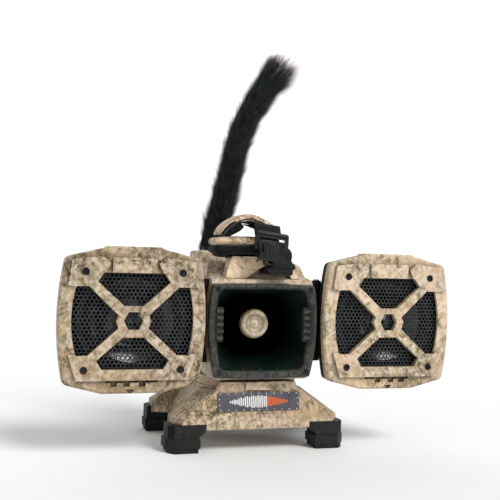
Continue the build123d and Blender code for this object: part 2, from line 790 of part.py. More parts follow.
def volume_rocker():
    with BuildPart() as piece:
        with BuildSketch(side(-5.2)):
            with BuildLine():
                Polyline((54.6, 119), (54.6, 127), (58.6, 134.0), (62.2, 134.0),
                         (61.2, 123), (62.2, 112.0), (58.6, 112.0), close=True)
            make_face()
        extrude(amount=10.4)
        with BuildSketch(side(-8.6, ROCKER_Y, ROCKER_Z)):
            Circle(ROCKER_PIN_R)
        extrude(amount=17.2)
    return piece.part


def aux_jack():
    """Barrel and collar with a common bore."""
    with BuildPart() as piece:
        for y, radius, length in ((47.8, 4.0, 13.2), (60.6, 5.4, 1.2)):
            with BuildSketch(rear(JACK_X, y, PANEL_Z + CONTROL_RISE)):
                Circle(radius)
                Circle(1.8, mode=Mode.SUBTRACT)
            extrude(amount=length)
    return piece.part


# ================================================================ strap
def strap_lug():
    """Bridge across the top, open underneath for the webbing."""
    with BuildPart() as piece:
        with BuildSketch(front(y=-50.5)):
            with BuildLine():
                Polyline((-38.5, 168.6), (-31.5, 194.4), (31.0, 194.4), (41.5, 168.6),
                         (34.0, 168.6), (28.0, 184.0), (0.8, 184.0), (-22.0, 168.6), close=True)
            make_face()
        extrude(amount=15)
        fillet(piece.edges().filter_by(Axis.Y).group_by(Axis.Z)[-1], 3)
        # its feet follow the slope of the housing
        with BuildSketch(side(-50)):
            with BuildLine():
                Polyline((-75, 160), (-75, 171.0), (-51, 174.7), (-45, 180.9), (-45, 160),
                         close=True)
            make_face()
        extrude(amount=100, mode=Mode.SUBTRACT)
        # two sink marks on the front of the bridge
        with BuildSketch(front(y=-64.6)):
            with Locations((-17, 189.4), (-5, 190.4)):
                Circle(1.3)
        extrude(amount=3, mode=Mode.SUBTRACT)
    return piece.part


def strap_pad():
    """One padded band folded at the left, lower layer and upper arc."""
    # (x, z) points
    outer_curve = [(2, 197.2), (-20, 197.0), (-40, 196.8), (-54, 197.6), (-61.8, 200.6),
                   (-64.2, 205.8), (-61.6, 211.8), (-56.6, 217.4), (-51.8, 223.0),
                   (-43.9, 229.4), (-34.8, 234.2), (-24, 236.8), (-12, 235.8), (0, 232.6),
                   (10.3, 227.0), (17.5, 221.6)]
    under_arc = [(11.6, 222.6), (2, 226.4), (-8, 226.8), (-15, 225.2), (-22, 221.4),
                 (-29.5, 216.8)]
    lower_layer_top = [(-28.5, 214.6), (-14, 214.6), (2, 214.0)]
    with BuildPart() as piece:
        with BuildSketch(front(y=-40)):
            with BuildLine():
                Spline(*outer_curve)
                Line(outer_curve[-1], under_arc[0])
                Spline(*under_arc)
                Line(under_arc[-1], lower_layer_top[0])
                Spline(*lower_layer_top)
                Line(lower_layer_top[-1], outer_curve[0])
            make_face()
        extrude(amount=37.6)
    return piece.part


def strap_webbing():
    with BuildPart() as piece:
        # lines the inside of the arc and folds down the front
        with BuildSketch(side(-13.5)):
            with BuildLine():
                Polyline((-48, 221.4), (-79.4, 220.0), (-80.6, 218.4), (-80.6, 200),
                         (-78.6, 200), (-78.6, 218.2), (-48, 219.6), close=True)
            make_face()
        extrude(amount=26)
        # slants right behind the buckle
        with BuildSketch(front(y=-78.6)):
            Polygon((-13.5, 206), (12.5, 206), (27, 200), (27, 195), (2, 195), (-6, 200),
                    align=None)
        extrude(amount=2)
        # round the bar of the bridge and up behind it
        with BuildSketch(side(2)):
            with BuildLine():
                Polyline((-78.6, 201), (-80.6, 201), (-80.6, 195.0), (-79.2, 192.9),
                         (-69.6, 189.2))
                ThreePointArc((-69.6, 189.2), (-58, 177.6), (-46.4, 189.2))
                Polyline((-46.4, 189.2), (-46.4, 195.4), (-48.4, 195.4), (-48.4, 189.2))
                ThreePointArc((-48.4, 189.2), (-58, 179.6), (-67.6, 189.2))
                Polyline((-67.6, 189.2), (-68.4, 190.8), (-77.8, 194.4), (-78.6, 195.8),
                         (-78.6, 201))
            make_face()
        extrude(amount=25)
    return piece.part


def buckle_female():
    with BuildPart() as piece:
        with BuildSketch(front(BUCKLE_X, -80.8, BUCKLE_Z)):
            Polygon((-13.5, 9), (13.5, 9), (16.6, -3), (13.5, -11.5), (-13.5, -11.5),
                    (-16.6, -3), align=None, rotation=BUCKLE_TILT)
        extrude(amount=8)
        # slot for the tongue
        with BuildSketch(front(BUCKLE_X, -82.4, BUCKLE_Z)):
            Polygon((-9, 10), (9, 10), (9, -6), (-9, -6), align=None, rotation=BUCKLE_TILT)
        extrude(amount=4.4, mode=Mode.SUBTRACT)
    return piece.part


def buckle_male():
    with BuildPart() as piece:
        with BuildSketch(front(BUCKLE_X, -80.9, 214.8)):
            Polygon((-17, 5), (17, 5), (17, -5), (-17, -5), align=None, rotation=BUCKLE_TILT)
            Polygon((-13.6, 1.2), (13.6, 1.2), (13.6, -2.6), (-13.6, -2.6), align=None,
                    rotation=BUCKLE_TILT, mode=Mode.SUBTRACT)
        extrude(amount=6)
        # tongue inside the other half
        with BuildSketch(front(BUCKLE_X, -82.6, BUCKLE_Z)):
            Polygon((-8.8, 10.4), (8.8, 10.4), (8.8, -5.8), (-8.8, -5.8), align=None,
                    rotation=BUCKLE_TILT)
        extrude(amount=4.0)
    return piece.part


# ================================================================ decoy tail
def decoy_housing():
    bottom = BODY_TOP + 0.1
    with BuildPart() as piece:
        with BuildSketch(level(bottom, TAIL_X, TAIL_Y)):
            RectangleRounded(40, 42, 5)
        extrude(amount=11.4)
        chamfer(piece.faces().sort_by(Axis.Z)[-1].edges(), 2.2)
        with BuildSketch(level(bottom, TAIL_X, TAIL_Y)):
            RectangleRounded(34, 36, 3)
        extrude(amount=8.4, mode=Mode.SUBTRACT)
        # bearing of the tail shaft
        with BuildSketch(level(bottom, TAIL_X, TAIL_Y)):
            Circle(5.0)
            Circle(TAIL_SHAFT_R + RUN, mode=Mode.SUBTRACT)
        extrude(amount=9.0)
        with BuildSketch(level(bottom, TAIL_X, TAIL_Y)):
            Circle(TAIL_SHAFT_R + RUN)
        extrude(amount=16, mode=Mode.SUBTRACT)
    return piece.part


def decoy_motor():
    with BuildPart() as piece:
        # mounting plate with the lower bearing of the tail shaft
        with BuildSketch(level(MOTOR_PLATE_Z)):
            with Locations((TAIL_X + GEAR_CENTRES / 2, TAIL_Y)):
                RectangleRounded(38, 20, 3)
            with Locations((TAIL_X, TAIL_Y)):
                Circle(TAIL_SHAFT_R + RUN, mode=Mode.SUBTRACT)
        extrude(amount=2.2)
        # can
        with BuildSketch(level(MOTOR_PLATE_Z - 16.8, MOTOR_X, TAIL_Y)):
            Circle(8.4)
        extrude(amount=16.8)
        # nose and bore
        with BuildSketch(level(MOTOR_PLATE_Z, MOTOR_X, TAIL_Y)):
            Circle(3.0)
            Circle(MOTOR_SHAFT_R + RUN, mode=Mode.SUBTRACT)
        extrude(amount=3.0)
        with BuildSketch(level(160.0, MOTOR_X, TAIL_Y)):
            Circle(MOTOR_SHAFT_R + RUN)
        extrude(amount=20, mode=Mode.SUBTRACT)
    return piece.part


def tooth(flank):
    """Tooth pointing along +x from the (x, half width) points of its flank."""
    return [(x, -half) for x, half in flank] + flank[::-1]


def motor_pinion():
    with BuildPart() as piece:
        with BuildSketch(level(178.0, MOTOR_X, TAIL_Y)):
            Circle(3.0)
            with PolarLocations(0, PINION_TEETH, start_angle=18):
                Polygon(*tooth([(2.6, 0.62), (4.0, 0.46), (4.7, 0.2)]), align=None)
        extrude(amount=4.0)
        with BuildSketch(level(162.0, MOTOR_X, TAIL_Y)):
            Circle(MOTOR_SHAFT_R)
        extrude(amount=20.0)
    return piece.part


def tail_gear():
    with BuildPart() as piece:
        with BuildSketch(level(178.4, TAIL_X, TAIL_Y)):
            Circle(8.6)
            with PolarLocations(0, GEAR_TEETH):
                Polygon(*tooth([(8.2, 0.74), (9.6, 0.48), (10.35, 0.26)]), align=None)
        extrude(amount=3.2)
        # hub and bore
        with BuildSketch(level(175.6, TAIL_X, TAIL_Y)):
            Circle(4.0)
        extrude(amount=9.0)
        with BuildSketch(level(170.0, TAIL_X, TAIL_Y)):
            Circle(TAIL_SHAFT_R + 0.02)
        extrude(amount=20.0, mode=Mode.SUBTRACT)
    return piece.part


def tail_socket():
    """Shaft with a cup on top."""
    with BuildPart() as piece:
        for z, radius, height, mode in ((168.0, TAIL_SHAFT_R, 34.0, Mode.ADD),
                                        (200.2, 8.0, 14.0, Mode.ADD),
                                        (203.2, 6.4, 14.0, Mode.SUBTRACT)):
            with BuildSketch(level(z, TAIL_X, TAIL_Y)):
                Circle(radius)
            extrude(amount=height, mode=mode)
    return piece.part


# Stations of the tail from root to tip: x, z, radius.
TAIL_LINE = [(-30.0, 201.4, 12.0), (-27.5, 214.0, 13.6), (-22.2, 238.0, 13.6),
             (-15.5, 264.0, 13.4), (-9.8, 288.0, 12.8), (-2.2, 318.0, 13.4),
             (10.6, 347.0, 13.8), (27.0, 373.0, 13.6), (42.0, 392.0, 12.0),
             (52.0, 407.0, 6.5)]


def tail_fur():
    last = len(TAIL_LINE) - 1
    with BuildPart() as piece:
        for i, (x, z, radius) in enumerate(TAIL_LINE):
            if i == 0:
                along = Vector(0, 0, 1)
            else:
                # each section faces along the line between its neighbours
                before, after = TAIL_LINE[i - 1], TAIL_LINE[min(i + 1, last)]
                along = Vector(after[0] - before[0], 0, after[1] - before[1])
            with BuildSketch(Plane(origin=(x, TAIL_Y, z), x_dir=(0, 1, 0), z_dir=along)):
                Circle(radius)
        loft()
        # room for the socket
        with BuildSketch(level(198.0, TAIL_X, TAIL_Y)):
            Circle(8.3)
        extrude(amount=17.0, mode=Mode.SUBTRACT)
    return piece.part


# ================================================================ speaker pods
# All pod pieces are drawn on the left; points are (x, z) from the pod centre.
def pod_outline():
    with BuildSketch() as outline:
        with BuildLine():
            Polyline((64.4, 59.5), (27.5, 68.8), (26.3, 70.2), (-26.3, 70.2), (-27.5, 68.8),
                     (-64.4, 59.5))
            ThreePointArc((-64.4, 59.5), (-70.5, 0), (-64.4, -59.5))
            Polyline((-64.4, -59.5), (-28.5, -68.6), (28.5, -68.6), (64.4, -59.5))
            ThreePointArc((64.4, -59.5), (70.5, 0), (64.4, 59.5))
        make_face()
        fillet(outline.vertices().filter_by(lambda v: abs(v.X) > 60), 7)
    return outline.sketch


POD_OUTLINE = pod_outline()
# Right-hand arms of the guard.
UPPER_ARM = [(6.0, 16.0), (31.0, 38.2), (22.8, 54.0), (30.0, 60.6), (58.5, 56.8),
             (62.0, 33.0), (50.0, 31.0), (41.0, 30.0), (12.0, 3.0)]
LOWER_ARM = [(8.0, -18.0), (31.5, -38.0), (27.0, -44.0), (27.0, -56.0), (53.0, -56.0),
             (60.5, -31.4), (41.0, -30.8), (12.0, -4.8)]
UPPER_WINDOW = [(-28.8, 45.1), (28.8, 45.1), (34.5, 36.7), (9.2, 14.0), (-9.2, 14.0),
                (-34.5, 36.7)]
LOWER_WINDOW = [(-29.3, -45.7), (29.3, -45.7), (34.5, -37.2), (10.0, -15.6),
                (-10.0, -15.6), (-34.5, -37.2)]
# Right-hand side window: straight edges, then the arc that closes them.
SIDE_WINDOW = [(53.3, -32.6), (42.6, -32.6), (14.3, -7.1), (16.7, 0), (14.3, 5.3),
               (42.6, 32.2), (53.8, 32.2)]
SIDE_WINDOW_ARC = [(53.8, 32.2), (58.0, 0), (53.3, -32.6)]
HEXAGON = [(9.2, 0), (5.0, 8.4), (-5.0, 8.4), (-9.2, 0), (-5.0, -8.4), (5.0, -8.4)]


def pod_front_cover():
    back = POD_SPLIT_Y - JOINT_GAP
    with BuildPart() as piece:
        with BuildSketch(pod(back)):
            add(POD_OUTLINE)
        extrude(amount=back - POD_RIM_Y)
        chamfer(piece.faces().sort_by(Axis.Y)[0].edges(), 1.8)
        with BuildSketch(pod(POD_SPLIT_Y + 1)):
            add_offset(POD_OUTLINE, -2.6)
        extrude(amount=7.1, mode=Mode.SUBTRACT)
        # raised guard: arms, ring, bars and corner pads
        with BuildSketch(pod(POD_RIM_Y + 0.5)):
            for sx in SIDES:
                for arm in (UPPER_ARM, LOWER_ARM):
                    with BuildLine():
                        Polyline(*flipped(arm, sx), close=True)
                    make_face()
            Circle(19.5)
            with Locations((0, -50.0)):
                Rectangle(60, 12.0)
            with Locations((0, 52.4)):
                Rectangle(42, 14.4)
        extrude(amount=POD_RIM_Y + 0.5 - POD_FACE_Y)
        # shadow slot under the lower bar and the notched lower lip
        with BuildSketch(pod(POD_RIM_Y + 2.4)):
            with Locations((0, -57.0)):
                Rectangle(50, 2.2)
            with Locations((-17, -59.6), (-5, -59.6), (10, -59.6)):
                Rectangle(6, 4.4)
            with Locations((-1.5, -65.6)):
                Rectangle(7, 1.8)
            with Locations((-1.5, -66.8)):
                Rectangle(4, 2.6)
        extrude(amount=8, mode=Mode.SUBTRACT)
        # the four windows and the hexagonal hole
        with BuildSketch(pod(-76)):
            for window in (UPPER_WINDOW, LOWER_WINDOW):
                with BuildLine():
                    Polyline(*window, close=True)
                make_face()
            for sx in SIDES:
                with BuildLine():
                    Polyline(*flipped(SIDE_WINDOW, sx))
                    ThreePointArc(*flipped(SIDE_WINDOW_ARC, sx))
                make_face()
            with BuildLine():
                Polyline(*HEXAGON, close=True)
            make_face()
        extrude(amount=16, mode=Mode.SUBTRACT)
        # screw posts, seats and holes
        for y, radius, length, mode in ((back, 5.0, 7.5, Mode.ADD),
                                        (POD_SEAT_Y, 3.6, 6, Mode.SUBTRACT),
                                        (POD_SPLIT_Y + 2, 1.5, 24, Mode.SUBTRACT)):
            with BuildSketch(pod(y)):
                with Locations(*POD_SCREWS):
                    Circle(radius)
            extrude(amount=length, mode=mode)
    return piece.part


def pod_grille():
    right = [(31, -48), (36, -40), (41, -34.5), (61, -34.5),
             (61, 34.5), (41, 34.5), (36, 40), (31, 48)]
    with BuildPart() as piece:
        with BuildSketch(pod(-80.4)):
            with BuildLine():
                Polyline(*both_sides(right), close=True)
            make_face()
        extrude(amount=1.0)
    return piece.part


def pod_rear_shell():
    outer_inset, inner_inset = -0.6, -3.0       # of the straight band
    with BuildPart() as piece:
        for y, inset in ((POD_BACK_Y, -13.0), (POD_BAND_Y, outer_inset)):
            with BuildSketch(pod(y)):
                add_offset(POD_OUTLINE, inset)
        loft(ruled=True)
        with BuildSketch(pod(POD_BAND_Y)):
            add_offset(POD_OUTLINE, outer_inset)
        extrude(amount=POD_BAND_Y - POD_SPLIT_Y - JOINT_GAP)
        # hollow
        for y, inset in ((POD_BACK_Y - 2.4, -15.0), (POD_BAND_Y, inner_inset)):
            with BuildSketch(pod(y)):
                add_offset(POD_OUTLINE, inset)
        loft(ruled=True, mode=Mode.SUBTRACT)
        with BuildSketch(pod(POD_BAND_Y)):
            add_offset(POD_OUTLINE, inner_inset)
        extrude(amount=14, mode=Mode.SUBTRACT)
        # posts for the screws
        for y, radius, length, mode in ((-47.6, 4.6, 27.8, Mode.ADD),
                                        (-57, 1.5, 20, Mode.SUBTRACT)):
            with BuildSketch(pod(y)):
                with Locations(*POD_SCREWS):
                    Circle(radius)
            extrude(amount=length, mode=mode)
        # hinge knuckle and its web
        knuckle_inset = BRACKET_KNUCKLE + KNUCKLE_GAP
        with BuildSketch(level(HINGE_BOTTOM + knuckle_inset)):
            with Locations((-HINGE_X, HINGE_Y)):
                Circle(HINGE_R)
            with BuildLine():
                Polyline((-HINGE_X, HINGE_Y - 4), (-HINGE_X, HINGE_Y + 3),
                         (-76, HINGE_Y + 3), (-74.6, HINGE_Y - 4), close=True)
            make_face()
        extrude(amount=HINGE_TOP - HINGE_BOTTOM - 2 * knuckle_inset)
        with BuildSketch(level(HINGE_BOTTOM, -HINGE_X, HINGE_Y)):
            Circle(HINGE_PIN_R + RUN)
        extrude(amount=HINGE_TOP - HINGE_BOTTOM, mode=Mode.SUBTRACT)
        # stiffening ribs on the back
        with BuildSketch(pod(POD_BACK_Y)):
            with GridLocations(16, 0, 5, 1):
                Rectangle(2.0, 84)
        extrude(amount=-0.9)
    return piece.part


def pod_screws():
    with BuildPart() as piece:
        with BuildSketch(pod(POD_SEAT_Y)):
            with Locations(*POD_SCREWS):
                Circle(3.1)
        extrude(amount=1.6)
        with BuildSketch(pod(POD_SEAT_Y - 0.8)):
            with Locations(*POD_SCREWS):
                cross(3.6, 0.8)
        extrude(amount=3, mode=Mode.SUBTRACT)
        with BuildSketch(pod(-60)):
            with Locations(*POD_SCREWS):
                Circle(1.4)
        extrude(amount=24.8)
    return piece.part


def speaker_basket():
    frame = turned(-POD_X, POD_Z, [
        (-77.0, 46.2), (-77.0, 53.0), (-75.6, 53.0), (-75.6, 49.5), (-60.0, 31.0),
        (-58.6, 31.0), (-58.6, 14.0), (-60.0, 14.0), (-60.0, 29.6), (-75.0, 46.2)])
    with BuildPart() as piece:
        add(frame)
        # windows between the legs
        with BuildSketch(pod(-58)):
            with PolarLocations(38.5, 6, start_angle=30):
                Rectangle(9, 22)
        extrude(amount=14.5, mode=Mode.SUBTRACT)
    return piece.part


def speaker_surround():
    return turned(-POD_X, POD_Z, [
        (-76.6, 40.4), (-78.4, 41.4), (-79.2, 43.2), (-78.4, 45.0), (-77.1, 46.0),
        (-77.1, 47.6), (-77.8, 47.6), (-78.9, 46.2), (-79.9, 43.2), (-78.9, 40.6),
        (-77.2, 40.4)])


def speaker_cone():
    return turned(-POD_X, POD_Z, [
        (-76.8, 40.0), (-68.0, 24.0), (-64.6, 13.4), (-66.6, 9.0), (-67.8, 4.0), (-68.0, 0),
        (-67.4, 0), (-67.2, 4.0), (-66.0, 8.6), (-64.0, 12.4), (-56.0, 12.4),
        (-56.0, 13.1), (-63.8, 13.1), (-67.4, 24.2), (-76.2, 40.0)])


def speaker_magnet():
    return turned(-POD_X, POD_Z, [
        (-58.5, 0), (-58.5, 11.6), (-53.0, 11.6), (-53.0, 13.9), (-58.5, 13.9),
        (-58.5, 29.0), (-49.4, 29.0), (-49.4, 0)])


# ================================================================ hinges
def hinge_bracket():
    with BuildPart() as piece:
        with BuildSketch(level(HINGE_BOTTOM)):
            with BuildLine():
                Polyline((-53.0, -60), (-59.4, -60), (-59.4, -38), (-53.0, -38), close=True)
            make_face()
        extrude(amount=HINGE_TOP - HINGE_BOTTOM)
        # seat against the side of the body
        with BuildSketch(front(y=-30)):
            add_offset(BODY_OUTLINE, 0.1)
        extrude(amount=40, mode=Mode.SUBTRACT)
        for z in (HINGE_BOTTOM, HINGE_TOP - BRACKET_KNUCKLE):
            with BuildSketch(level(z)):
                with Locations((-HINGE_X, HINGE_Y)):
                    Circle(HINGE_R)
                with Locations((-62.2, HINGE_Y)):
                    Rectangle(7.6, 10)
            extrude(amount=BRACKET_KNUCKLE)
        with BuildSketch(level(HINGE_BOTTOM - 1, -HINGE_X, HINGE_Y)):
            Circle(HINGE_PIN_R + 0.02)
        extrude(amount=HINGE_TOP - HINGE_BOTTOM + 2, mode=Mode.SUBTRACT)
    return piece.part


def hinge_pins():
    """Both pins: shank, head and the short neck that joins them."""
    with BuildPart() as piece:
        for z, radius, height in ((HINGE_BOTTOM, HINGE_PIN_R, HINGE_TOP - HINGE_BOTTOM),
                                  (HINGE_TOP + 0.05, 3.2, 1.4),
                                  (HINGE_TOP, HINGE_PIN_R, 0.5)):
            with BuildSketch(level(z)):
                with Locations((-HINGE_X, HINGE_Y), (HINGE_X, HINGE_Y)):
                    Circle(radius)
            extrude(amount=height)
    return piece.part


# ================================================================ output
# Each file is named after the function that builds the piece.
SINGLE_PIECES = [
    base_shell, base_floor, battery_door, battery_door_pin, battery_cells, battery_tray,
    name_plate, neck_collar, front_housing, rear_housing, case_screws,
    horn_bezel, horn_bezel_screws, horn_bell, horn_reflector, throat_tube,
    driver_cap, driver_diaphragm, driver_magnet,
    amplifier_board, receiver_board, control_panel, power_button, volume_rocker, aux_jack,
    strap_lug, strap_pad, strap_webbing, buckle_female, buckle_male,
    decoy_housing, decoy_motor, motor_pinion, tail_gear, tail_socket, tail_fur, hinge_pins]
PAIRED_PIECES = [
    pod_front_cover, pod_grille, pod_rear_shell, pod_screws, speaker_basket,
    speaker_surround, speaker_cone, speaker_magnet, hinge_bracket]

os.makedirs("parts", exist_ok=True)
for build in SINGLE_PIECES:
    save(build(), build.__name__)
for build in PAIRED_PIECES:
    save_pair(build(), build.__name__)
for sy, end_name in ((-1, "front"), (1, "rear")):
    for sx, side_name in ((-1, "left"), (1, "right")):
        save(foot(sx, sy), f"foot_{end_name}_{side_name}")
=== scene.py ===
# A camouflaged game caller: a housing with a horn, a speaker pod on each side, a padded
# strap with a buckle over the top and a black pile tail standing behind.
# It stands on z = 0 with its front towards -Y, +X to the camera's right and +Z up.
import math
import random

import bmesh
import bpy
import numpy as np
from mathutils import Matrix, Vector, noise
from mathutils.bvhtree import BVHTree

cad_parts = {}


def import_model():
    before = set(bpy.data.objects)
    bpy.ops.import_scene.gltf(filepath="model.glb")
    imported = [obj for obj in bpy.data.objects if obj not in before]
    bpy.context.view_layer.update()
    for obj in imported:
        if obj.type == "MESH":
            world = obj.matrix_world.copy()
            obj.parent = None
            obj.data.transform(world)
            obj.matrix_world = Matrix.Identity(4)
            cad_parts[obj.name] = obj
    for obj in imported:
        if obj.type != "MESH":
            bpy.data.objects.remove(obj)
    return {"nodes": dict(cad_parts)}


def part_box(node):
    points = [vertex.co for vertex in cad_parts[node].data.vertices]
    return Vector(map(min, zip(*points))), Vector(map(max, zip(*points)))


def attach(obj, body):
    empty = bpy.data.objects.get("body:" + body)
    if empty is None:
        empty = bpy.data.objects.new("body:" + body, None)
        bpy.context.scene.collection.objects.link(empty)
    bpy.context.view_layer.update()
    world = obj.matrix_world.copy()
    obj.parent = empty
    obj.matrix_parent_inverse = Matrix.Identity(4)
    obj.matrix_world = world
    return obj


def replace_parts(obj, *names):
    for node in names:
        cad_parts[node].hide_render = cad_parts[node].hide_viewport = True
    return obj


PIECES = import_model()["nodes"]
SCENE = bpy.context.scene
MM = 0.001  # mesh tables are in millimetres, shader lengths in metres


def centre_xz(piece):
    low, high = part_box(piece)
    return (low.x + high.x) / 2, (low.z + high.z) / 2


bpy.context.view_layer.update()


# ------------------------------------------------------------------ shader helpers
def srgb(*channels):
    """Linear colour from 0-255 channels."""
    return tuple(c / 255 / 12.92 if c <= 10 else ((c / 255 + 0.055) / 1.055) ** 2.4
                 for c in channels)


def scaled(colour, factor):
    return tuple(x * factor for x in colour)


class Shader:
    """A Principled material, with short calls that add nodes and return an output socket."""

    def __init__(self, name):
        self.material = bpy.data.materials.new(name)
        self.material.use_nodes = True
        self.tree = self.material.node_tree
        self.tree.nodes.clear()
        output = self.tree.nodes.new("ShaderNodeOutputMaterial")
        self.bsdf = self.tree.nodes.new("ShaderNodeBsdfPrincipled")
        self.tree.links.new(self.bsdf.outputs[0], output.inputs[0])

    def put(self, socket, value):
        if isinstance(value, bpy.types.NodeSocket):
            self.tree.links.new(value, socket)
        elif socket.type == "RGBA":
            socket.default_value = (*value, 1)
        else:
            socket.default_value = value

    def node(self, kind, inputs=None, out=0, **settings):
        node = self.tree.nodes.new("ShaderNode" + kind)
        for key, value in settings.items():
            setattr(node, key, value)
        for key, value in (inputs or {}).items():
            self.put(node.inputs[key], value)
        return node.outputs[out]

    def remap(self, vector, offset=(0, 0, 0), scale=(1, 1, 1), rotation=(0, 0, 0)):
        return self.node("Mapping", {0: vector, 1: offset, 2: rotation, 3: scale})

    def coords(self, offset=(0, 0, 0), scale=(1, 1, 1)):
        return self.remap(self.node("TexCoord", out="Object"), offset, scale)

    def axis(self, vector, letter):
        return self.node("SeparateXYZ", {0: vector}, letter)

    def noise(self, vector, scale, detail=4.0, rough=0.55, out=0):
        inputs = {"Vector": vector, "Scale": scale, "Detail": detail, "Roughness": rough}
        return self.node("TexNoise", inputs, out)

    def wave(self, vector, scale, distortion, detail=2.0, **settings):
        inputs = {"Vector": vector, "Scale": scale, "Distortion": distortion, "Detail": detail}
        return self.node("TexWave", inputs, **settings)

    def ramp(self, factor, stops):
        """Colour ramp; a stop is (position, grey or colour)."""
        node = self.tree.nodes.new("ShaderNodeValToRGB")
        self.put(node.inputs[0], factor)
        elements = node.color_ramp.elements
        while len(elements) < len(stops):
            elements.new(0.5)
        for element, (position, value) in zip(elements, stops):
            element.position = position
            colour = value if isinstance(value, tuple) else (value, value, value)
            element.color = (*colour, 1)
        return node.outputs[0]

    def spread(self, factor, low, high):
        """Ramp over the middle of a noise's range."""
        return self.ramp(factor, [(0.3, low), (0.7, high)])

    def patches(self, vector, span, values=(0.0, 1.0), **noise_args):
        """Noise ramped from the first value to the second across a span."""
        return self.ramp(self.noise(vector, **noise_args), list(zip(span, values)))

    def hairline(self, field, level, stops):
        """Thin lines where a noise field crosses a level."""
        return self.ramp(self.math("ABSOLUTE", self.math("SUBTRACT", field, level)), stops)

    def mix(self, factor, a, b, mode="MIX"):
        return self.node("Mix", {0: factor, 6: a, 7: b}, 2, data_type="RGBA", blend_type=mode)

    def shade(self, colour, factor):
        return self.mix(1.0, colour, factor, "MULTIPLY")

    def math(self, operation, a, b=0.0, clamp=False):
        return self.node("Math", {0: a, 1: b, 2: 0.0}, operation=operation, use_clamp=clamp)

    def times(self, a, b, clamp=False):
        return self.math("MULTIPLY", a, b, clamp)

    def map_range(self, value, start, end, low=0.0, high=1.0):
        return self.node("MapRange", {0: value, 1: start, 2: end, 3: low, 4: high})

    def warp(self, vector, scale, amount, detail=2.0):
        shift = self.noise(vector, scale, detail, rough=0.5, out=1)
        shift = self.node("VectorMath", {0: shift, 1: (0.5, 0.5, 0.5)}, operation="SUBTRACT")
        shift = self.node("VectorMath", {0: shift, "Scale": amount}, operation="SCALE")
        return self.node("VectorMath", {0: vector, 1: shift}, operation="ADD")

    def bump(self, height, strength, distance, normal=None):
        inputs = {"Height": height, "Strength": strength, "Distance": distance}
        if normal is not None:
            inputs["Normal"] = normal
        return self.node("Bump", inputs)

    def round_edges(self, radius):
        return self.node("Bevel", {"Radius": radius}, samples=4)

    def occlusion(self, distance, samples):
        return self.node("AmbientOcclusion", {"Distance": distance}, "AO", samples=samples)

    def wear(self, low, high):
        return self.map_range(self.node("NewGeometry", out="Pointiness"), low, high)

    def finish(self, colour, roughness, normal=None, metallic=0.0, specular=0.5, sheen=0.0,
               anisotropic=0.0):
        values = {"Base Color": colour, "Roughness": roughness, "Metallic": metallic,
                  "Specular IOR Level": specular, "Sheen Weight": sheen,
                  "Anisotropic": anisotropic}
        if normal is not None:
            values["Normal"] = normal
        for key, value in values.items():
            self.put(self.bsdf.inputs[key], value)
        return self.material


# ------------------------------------------------------------------ camouflage
# Grass blades and twigs: angle, noise scale, stretch, line width, patch span, offset,
# strength, colour.
DARK_STROKES = [
    (0.75, 60, 0.16, 0.024, (0.45, 0.56), 1.1, 0.80, (84, 76, 46)),
    (-0.55, 70, 0.14, 0.022, (0.47, 0.58), 2.3, 0.72, (92, 74, 54)),
    (1.45, 85, 0.18, 0.017, (0.47, 0.57), 3.7, 0.66, (84, 76, 46)),
]
PALE_STROKES = [
    (-0.95, 64, 0.13, 0.024, (0.44, 0.56), 5.9, 0.6, (228, 212, 180)),
    (0.30, 90, 0.12, 0.022, (0.46, 0.58), 7.3, 0.5, (214, 196, 160)),
]
# Seed, strength of the dark marks, painted light gain, share of pink in the ground.
# The gain paints light and shade into each part: the left pod and the base painted darker, the lug
# painted lighter.
CAMO_SHELLS = {
    "camo_body": (11, 0.9, (0.94, 0.94, 0.94), 0.8),
    "camo_lug": (63, 0.9, (1.36, 1.38, 1.34), 0.5),
    "camo_base": (23, 0.9, (0.75, 0.74, 0.67), 0.9),
    "camo_left": (37, 1.15, (0.60, 0.585, 0.53), 0.85),
    "camo_right": (41, 0.95, (0.97, 0.97, 0.97), 0.9),
}
CAMO_CLOTH = (77, 0.9, (1.08, 1.08, 1.08), 0.5)
CAMO_ROUGHNESS = 0.52


def camo_strokes(m, v, seed, angle, scale, stretch, width, span, offset):
    """Long thin lines in one direction, kept inside soft patches."""
    q = m.remap(m.warp(v, scale=34, amount=0.006),
                offset=(offset, offset * 0.7, offset * 1.3),
                rotation=(0, angle, 0.35 * math.sin(angle * 3 + seed)))
    q = m.remap(q, scale=(1, 0.6, stretch))
    line = m.hairline(m.noise(q, scale, detail=2.5, rough=0.5), 0.5,
                      [(0.0, 1.0), (width * 0.45, 0.85), (width, 0.0)])
    mask = m.patches(m.remap(v, (offset * 2, 1, offset)), span, scale=22.0, detail=2, rough=0.5)
    return m.times(line, mask)


def camo_ground(m, v, warm):
    """Khaki and dusty pink zones; also returns the finer zone noise."""
    base = m.ramp(m.noise(v, scale=17, detail=3), [
        (0.33, srgb(138, 112, 84)), (0.44, srgb(172, 148, 108)), (0.52, srgb(198, 170, 128)),
        (0.53 + 0.10 * (1 - warm), srgb(214, 182, 156)), (0.76, srgb(178, 156, 138))])
    fine_zone = m.noise(m.remap(v, (5, 3, 1)), scale=40, rough=0.6)
    base = m.mix(m.ramp(fine_zone, [(0.50, 0.0), (0.66, 0.6)]), base, srgb(160, 138, 102))
    base = m.mix(m.ramp(fine_zone, [(0.30, 0.6), (0.44, 0.0)]), base, srgb(210, 190, 162))
    return base, fine_zone


